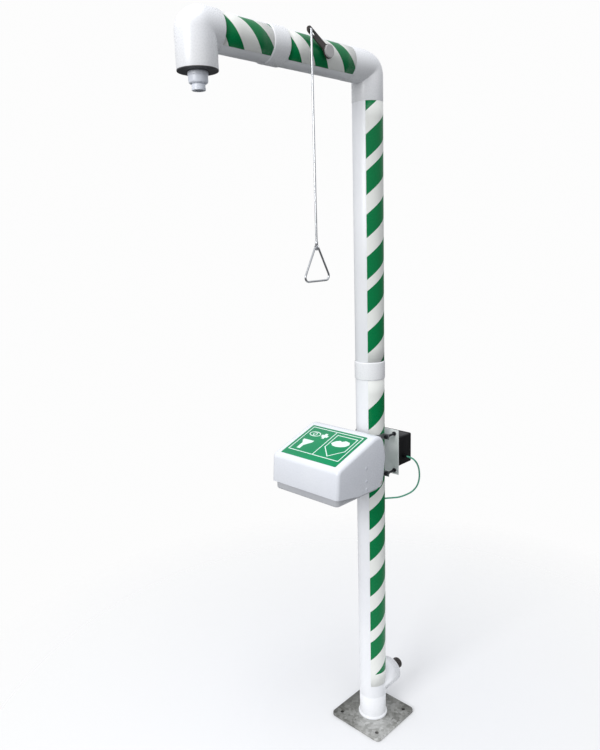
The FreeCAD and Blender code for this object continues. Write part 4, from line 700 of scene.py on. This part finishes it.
def roundedCorners(points, radii, closed, segments=8):
    count = len(points)
    path = []
    for number, corner in enumerate(points):
        if not closed and number in (0, count - 1):
            path.append(corner)
            continue
        back = (points[number - 1] - corner).normalized()
        ahead = (points[(number + 1) % count] - corner).normalized()
        halfTurn = (math.pi - back.angle(ahead)) / 2
        reach = radii[number] * math.tan(halfTurn)
        centre = corner + (back + ahead).normalized() * (radii[number] / math.cos(halfTurn))
        start = corner + back * reach - centre
        end = corner + ahead * reach - centre
        axis = start.cross(end).normalized()
        turn = start.angle(end)
        for step in range(segments + 1):
            path.append(centre + Matrix.Rotation(turn * step / segments, 3, axis) @ start)
    return path


pull = {"rodRadius": 0.0033, "wire": 0.003, "pivotHeight": 1.801, "drop": 0.098, "halfTop": 0.007, "halfFoot": 0.060,
        "topBend": 0.005, "footBend": 0.013, "hookBend": 0.004, "eye": 0.0085, "eyeGap": 0.0008, "eyeHalf": 0.002,
        "collar": 0.0046, "collarFrom": 0.0075, "collarHeight": 0.010}


def addPull():
    low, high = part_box("pull_rod")
    x = high.x - pull["eye"]
    y = (low.y + high.y) / 2
    top = high.z - pull["rodRadius"]
    foot = pull["pivotHeight"]
    hookStart = Vector((low.x, y, top))
    knee = Vector((x, y, top))
    rodFoot = Vector((x, y, foot + 0.009))
    path = roundedCorners([hookStart, knee, rodFoot], [0, pull["hookBend"], 0], False)
    shank = barAlong(path, pull["rodRadius"])
    bore, rim, thick = pull["wire"] + pull["eyeGap"], pull["eye"], pull["eyeHalf"]
    eye = latheShape([(bore, -thick), (rim, -thick), (rim, thick), (bore, thick)], 0.0006, steps=40)
    moveTo(eye, (x, y, foot), "y")
    radius, tall = pull["collar"], pull["collarHeight"]
    collar = latheShape([(0.001, 0.0), (radius, 0.0), (radius, tall), (0.001, tall)], 0.0008, steps=32)
    moveTo(collar, (x, y, foot + pull["collarFrom"]))
    addPiece(joinShapes([shank, eye, collar]), "pullRod", "rod", "rod", ["pull_rod"])
    pivot = Vector((x, y, foot))
    corners = [pivot + Vector(place) for place in (
        (0, -pull["halfTop"], 0), (0, pull["halfTop"], 0), (0, pull["halfFoot"], -pull["drop"]),
        (0, -pull["halfFoot"], -pull["drop"]))]
    radii = [pull["topBend"], pull["topBend"], pull["footBend"], pull["footBend"]]
    handle = barAlong(roundedCorners(corners, radii, True, 10), pull["wire"], True)
    addPiece(handle, "pullHandle", "rod", "handle", ["pull_handle"])


addPull()
print("pull rod and handle placed")

# eyewash lid, its sign and the bowl

lid = {
    "halfWidth": 0.146, "wall": 0.003, "softness": 0.0007, "backRound": 0.042, "noseRound": 0.022, "rimRound": 0.012,
    "profile": [(-0.351, 1.032), (-0.343, 1.126), (-0.107, 1.20565), (-0.107, 1.10715), (-0.123, 1.023),
                (-0.135, 1.015), (-0.245, 1.015)],
    "capRadius": 0.006, "capHeight": 0.0015, "capPlaces": [(-0.206, 1.099), (-0.206, 1.055), (-0.206, 1.027)],
    "pinPlace": (-0.129, 1.029),
}


def edgeAt(bm, y, z):
    return [edge for edge in bm.edges if all(math.hypot(vert.co.y - y, vert.co.z - z) < 1e-4 for vert in edge.verts)
            and abs(edge.verts[0].co.x - edge.verts[1].co.x) > 0.1]


def addLid():
    bm = bmesh.new()
    half = lid["halfWidth"]
    face = bm.faces.new([bm.verts.new((-half, y, z)) for y, z in lid["profile"]])
    pushOut(bm, [face], (half * 2, 0, 0))
    for corner, radius, segments in ((2, lid["backRound"], 14), (1, lid["noseRound"], 9)):
        y, z = lid["profile"][corner]
        before, after = (Vector(lid["profile"][corner + step]) - Vector((y, z)) for step in (-1, 1))
        reach = radius * math.tan((math.pi - before.angle(after)) / 2)
        bmesh.ops.bevel(bm, geom=edgeAt(bm, y, z), offset=reach, offset_type="OFFSET",
                        segments=segments, profile=0.5, affect="EDGES", material=-1)
    bottom = [face for face in bm.faces if abs(face.normal.x) < 0.5  # open below and behind, up to the hinge
              and (face.calc_center_median().z < 1.035 or face.normal.y > 0.9 and face.calc_center_median().z < 1.146)]
    bmesh.ops.delete(bm, geom=bottom, context="FACES")
    rim = [edge for edge in bm.edges if edge.is_manifold and abs(edge.verts[0].co.x - edge.verts[1].co.x) < 1e-5
           and edge.calc_face_angle() > math.radians(60)]
    roundEdges(bm, lid["rimRound"], 7, chosen=rim, clamp=False)
    bmesh.ops.remove_doubles(bm, verts=bm.verts, dist=1e-6)
    shell = addPiece(bm, "eyewashLid", "lid", "lid", ["eyewash_lid"], sharp=40)
    giveWall(shell, lid["wall"], lid["softness"])
    caps, rivets = [], []
    radius, tall = lid["capRadius"], lid["capHeight"]
    for side, way in ((-1, "-x"), (1, "x")):
        for y, z in lid["capPlaces"]:
            cap = latheShape([(0.0001, 0.0), (radius, 0.0), (radius, tall * 0.3), (radius * 0.92, tall * 0.55),
                              (radius * 0.72, tall * 0.85), (radius * 0.4, tall), (0.0001, tall)], steps=32)
            caps.append(moveTo(cap, (half * side, y, z), way))
        rivet = latheShape([(0.0001, 0.0), (0.0062, 0.0), (0.0056, 0.0010), (0.0030, 0.0012), (0.0001, 0.0004)],
                           steps=32)
        rivets.append(moveTo(rivet, (half * side, *lid["pinPlace"]), way))
    # the screw caps take the painted-shade grey of the cap finish
    addPiece(joinShapes(caps), "lidScrewCaps", "cap", "lid", ["lid_screw_caps"], sharp=60)
    addPiece(joinShapes(rivets), "lidRivets", "hub", "lid", sharp=60)


addLid()

sign = {
    "tilt": 18.65, "lineWidth": 0.0032, "lift": 0.0008, "halfWidth": 0.120, "length": 0.172, "sink": 0.0002,
    "inkRise": 0.00015, "frame": (-0.110, 0.026, 0.110, 0.164), "divider": -0.002,  # x and y on the panel
    "shield": [(0.010, 0.150), (0.098, 0.150), (0.098, 0.078), (0.054, 0.036), (0.010, 0.078)],
    "hand": [(0.018, 0.104), (0.028, 0.118), (0.042, 0.125), (0.050, 0.121), (0.062, 0.129), (0.080, 0.126),
             (0.087, 0.115), (0.080, 0.102), (0.064, 0.094), (0.046, 0.091), (0.029, 0.094)],
    "fountain": [(-0.084, 0.040), (-0.070, 0.040), (-0.070, 0.060), (-0.049, 0.084), (-0.049, 0.092), (-0.094, 0.092),
                 (-0.094, 0.084), (-0.084, 0.072)],
    "cross": (-0.031, 0.128, 0.014, 0.0055), "eye": (-0.074, 0.128, 0.024, 0.0135), "iris": 0.0085, "eyeLine": 0.0030,
    "irisLine": 0.0028,
}


def flatShape(points, low, high):
    bm = bmesh.new()
    face = bm.faces.new([bm.verts.new((x, y, low)) for x, y in points])
    pushOut(bm, [face], (0, 0, high - low))
    return bm


def outlineShape(points, width, low, high):
    bm = bmesh.new()
    face = bm.faces.new([bm.verts.new((x, y, low)) for x, y in points])
    bm.normal_update()
    bmesh.ops.inset_region(bm, faces=[face], thickness=width, use_boundary=True, use_even_offset=True)
    bmesh.ops.delete(bm, geom=[face], context="FACES")
    pushOut(bm, bm.faces[:], (0, 0, high - low))
    return bm


def addSign():
    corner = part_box("lid_sign")[0]
    place = Matrix.Translation((0, corner.y, corner.z)) @ Matrix.Rotation(math.radians(sign["tilt"]), 4, "X")
    top = sign["lift"]
    half, length = sign["halfWidth"], sign["length"]
    panel = blockShape((-half, 0.0003, 0.00005), (half, length, top), 0.0002, 2, 0.003, 2, 4)
    bmesh.ops.transform(panel, matrix=place, verts=panel.verts)
    addPiece(panel, "lidSign", "signGreen", "lid", ["lid_sign"])
    left, near, right, far = sign["frame"]
    x, y, arm, thick = sign["cross"]
    ink = (top - sign["sink"], top + sign["inkRise"])
    middle, halfLine = sign["divider"], sign["lineWidth"] / 2
    shapes = [
        outlineShape([(left, near), (right, near), (right, far), (left, far)], sign["lineWidth"], *ink),
        flatShape([(middle - halfLine, near), (middle + halfLine, near), (middle + halfLine, far),
                   (middle - halfLine, far)], *ink),
        outlineShape(sign["shield"], sign["lineWidth"], *ink),
        flatShape(sign["hand"], *ink),
        flatShape(sign["fountain"], *ink),
        flatShape([(x - thick, y - arm), (x + thick, y - arm), (x + thick, y - thick), (x + arm, y - thick),
                   (x + arm, y + thick), (x + thick, y + thick), (x + thick, y + arm), (x - thick, y + arm),
                   (x - thick, y + thick), (x - arm, y + thick), (x - arm, y - thick), (x - thick, y - thick)], *ink),
        outlineShape(ellipsePoints(*sign["eye"]), sign["eyeLine"], *ink),
        outlineShape(ellipsePoints(*sign["eye"][:2], sign["iris"], sign["iris"]), sign["irisLine"], *ink),
    ]
    for shape in shapes:
        bmesh.ops.transform(shape, matrix=place, verts=shape.verts)
    addPiece(joinShapes(shapes), "signSymbols", "signWhite", "lid")


addSign()

bowl = {"halfWidth": 0.138, "front": -0.343, "back": -0.126, "bottom": 1.003, "rim": 1.062, "corner": 0.016,
        "foot": 0.008, "wall": 0.003, "softness": 0.0008}


def addBowl():
    half = bowl["halfWidth"]
    tub = blockShape((-half, bowl["front"], bowl["bottom"]), (half, bowl["back"], bowl["rim"]), corner=bowl["corner"],
                     cornerSegments=8)
    lower = [edge for edge in tub.edges if all(vert.co.z < bowl["bottom"] + 1e-5 for vert in edge.verts)]
    roundEdges(tub, bowl["foot"], 5, chosen=lower)
    top = [face for face in tub.faces if face.normal.z > 0.9 and face.calc_center_median().z > bowl["rim"] - 1e-4]
    bmesh.ops.delete(tub, geom=top, context="FACES")
    piece = addPiece(tub, "eyewashBowl", "bowl", "stand", ["eyewash_bowl"])
    giveWall(piece, bowl["wall"], bowl["softness"])


addBowl()
print("eyewash placed")

# junction box behind the column

box = {"halfWidth": 0.079, "back": 0.060, "cover": 0.126, "face": 0.137, "low": 1.016, "high": 1.124, "corner": 0.005,
       "seam": 0.0008, "screwInset": 0.010}


def addBox():
    half, inset = box["halfWidth"], box["screwInset"]
    case = blockShape((-half, box["back"], box["low"]), (half, box["cover"] - box["seam"], box["high"]), 0.0007, 2,
                      box["corner"], 1)
    addPiece(case, "junctionBox", "box", "stand", ["junction_box"])
    cover = blockShape((-half, box["cover"], box["low"]), (half, box["face"], box["high"]), 0.0018, 4,
                       box["corner"], 1)
    addPiece(cover, "junctionCover", "box", "stand", ["junction_box_cover"])
    screws = []
    for x in (-half + inset, half - inset):
        for z in (box["low"] + inset, box["high"] - inset):
            head = latheShape([(0.0001, 0.0), (0.0036, 0.0), (0.0036, 0.0008), (0.0026, 0.0016), (0.0001, 0.0016)],
                              steps=24)
            screws.append(moveTo(head, (x, box["face"], z), "y"))
    addPiece(joinShapes(screws), "coverScrews", "steel", "stand", ["box_cover_screws"], sharp=60)


addBox()

# finishes for the nodes that stay as they are

kept = {
    "foot_pipe": "pipe", "inlet_tee": "iron", "riser_lower": "pipe",
    "eyewash_tee": "iron", "riser_upper": "pipe", "top_elbow": "iron", "arm_pipe_rear": "pipe",
    "arm_pipe_front": "pipe", "head_elbow": "iron", "shower_valve_body": "brass", "shower_valve_ball": "steel",
    "shower_valve_stem": "steel", "insulation_shells": "rubber", "heating_cable": "rubber", "pull_lever": "lever",
    "lever_hub_cap": "hub", "clamp_straps": "strap", "clamp_bolts": "bolt", "clamp_nuts": "bolt",
    "mounting_plate": "plate", "terminal_block": "terminal", "cable_gland": "box", "eyewash_bracket": "steel",
    "bowl_strainer": "steel", "eyewash_feed_pipe": "pipe", "eyewash_valve_body": "brass",
    "eyewash_valve_ball": "steel", "eyewash_valve_stem": "steel", "lid_link": "steel", "spray_manifold": "nozzle",
    "spray_heads": "sprayCup", "hinge_posts": "steel", "hinge_pins": "steel",
}
for nodeName, finish in kept.items():
    cadNodes[nodeName].data.materials.clear()
    cadNodes[nodeName].data.materials.append(finishes[finish])
print("kept nodes finished")

# floor, sky and lamps

stage = {
    "floorSize": 3.2, "floorColor": (0.86, 0.86, 0.87), "fadeFrom": 0.45, "fadeTo": 1.9,  # metres from the column
    # the first radius on the next line sizes the painted-shade discs laid on the floor under the plate's holes
    "holeShadeRadius": 0.0069, "above": 0.84, "below": 0.08, "backdrop": 0.98,
    "lamps": {"key": ((0.5, -5.2, 3.1), 2.4, 150), "top": ((0.8, -1.0, 5.2), 2.0, 34)},  # place, size, watts
    "aim": (0, -0.2, 1.2),
}


def stagePiece(name, bm, material):
    mesh = bpy.data.meshes.new(name)
    bm.to_mesh(mesh)
    bm.free()
    mesh.materials.append(material)
    piece = bpy.data.objects.new(name, mesh)
    bpy.context.scene.collection.objects.link(piece)


def addFloor():
    material, tree, shader, place = startMaterial("floor")
    shader.inputs["Base Color"].default_value = (*stage["floorColor"], 1)
    shader.inputs["Roughness"].default_value = 0.9
    shader.inputs["Specular IOR Level"].default_value = 0.1
    distance = tree.nodes.new("ShaderNodeVectorMath")
    distance.operation = "LENGTH"
    tree.links.new(place, distance.inputs[0])
    shade = addRange(tree, distance.outputs["Value"], 1, 0, stage["fadeFrom"], stage["fadeTo"])
    tree.links.new(shade, shader.inputs["Alpha"])
    bm = bmesh.new()
    spot = Matrix.Translation((0, 0, -0.0005))
    bmesh.ops.create_circle(bm, cap_ends=True, segments=64, radius=stage["floorSize"], matrix=spot)
    stagePiece("floor", bm, material)
    # painted shade: dark discs laid on the floor under the plate's four holes, standing in for the shade inside them
    bm = bmesh.new()
    for x in (-1, 1):
        for y in (-1, 1):
            spot = Matrix.Translation((plate["boltOffset"] * x, plate["boltOffset"] * y, -0.0002))
            bmesh.ops.create_circle(bm, cap_ends=True, segments=32, radius=stage["holeShadeRadius"], matrix=spot)
    stagePiece("paintedHoleShade", bm, finishes["rubber"])


def addSky():
    world = bpy.data.worlds.new("studio")
    world.use_nodes = True
    bpy.context.scene.world = world
    tree = world.node_tree
    tree.nodes.clear()
    out = tree.nodes.new("ShaderNodeOutputWorld")
    mix = tree.nodes.new("ShaderNodeMixShader")
    light = tree.nodes.new("ShaderNodeBackground")
    seen = tree.nodes.new("ShaderNodeBackground")
    path = tree.nodes.new("ShaderNodeLightPath")
    way = tree.nodes.new("ShaderNodeTexCoord")
    split = tree.nodes.new("ShaderNodeSeparateXYZ")
    light.inputs["Color"].default_value = (0.95, 0.97, 1.0, 1)
    seen.inputs["Strength"].default_value = stage["backdrop"]
    seen.inputs["Color"].default_value = (1, 1, 1, 1)
    tree.links.new(way.outputs["Generated"], split.inputs["Vector"])
    strength = addRange(tree, split.outputs["Z"], stage["below"], stage["above"], -0.25, 0.25)
    tree.links.new(strength, light.inputs["Strength"])
    tree.links.new(path.outputs["Is Camera Ray"], mix.inputs["Fac"])
    tree.links.new(light.outputs["Background"], mix.inputs[1])
    tree.links.new(seen.outputs["Background"], mix.inputs[2])
    tree.links.new(mix.outputs["Shader"], out.inputs["Surface"])
    bpy.context.scene.view_settings.view_transform = "Standard"


def addLamps():
    aim = Vector(stage["aim"])
    for name, (place, size, power) in stage["lamps"].items():
        data = bpy.data.lights.new(name, "AREA")
        data.shape = "SQUARE"
        data.size = size
        data.energy = power
        lamp = bpy.data.objects.new(name, data)
        lamp.location = place
        lamp.rotation_euler = (aim - Vector(place)).to_track_quat("-Z", "Y").to_euler()
        bpy.context.scene.collection.objects.link(lamp)


addFloor()
addSky()
addLamps()
print("stage lit")
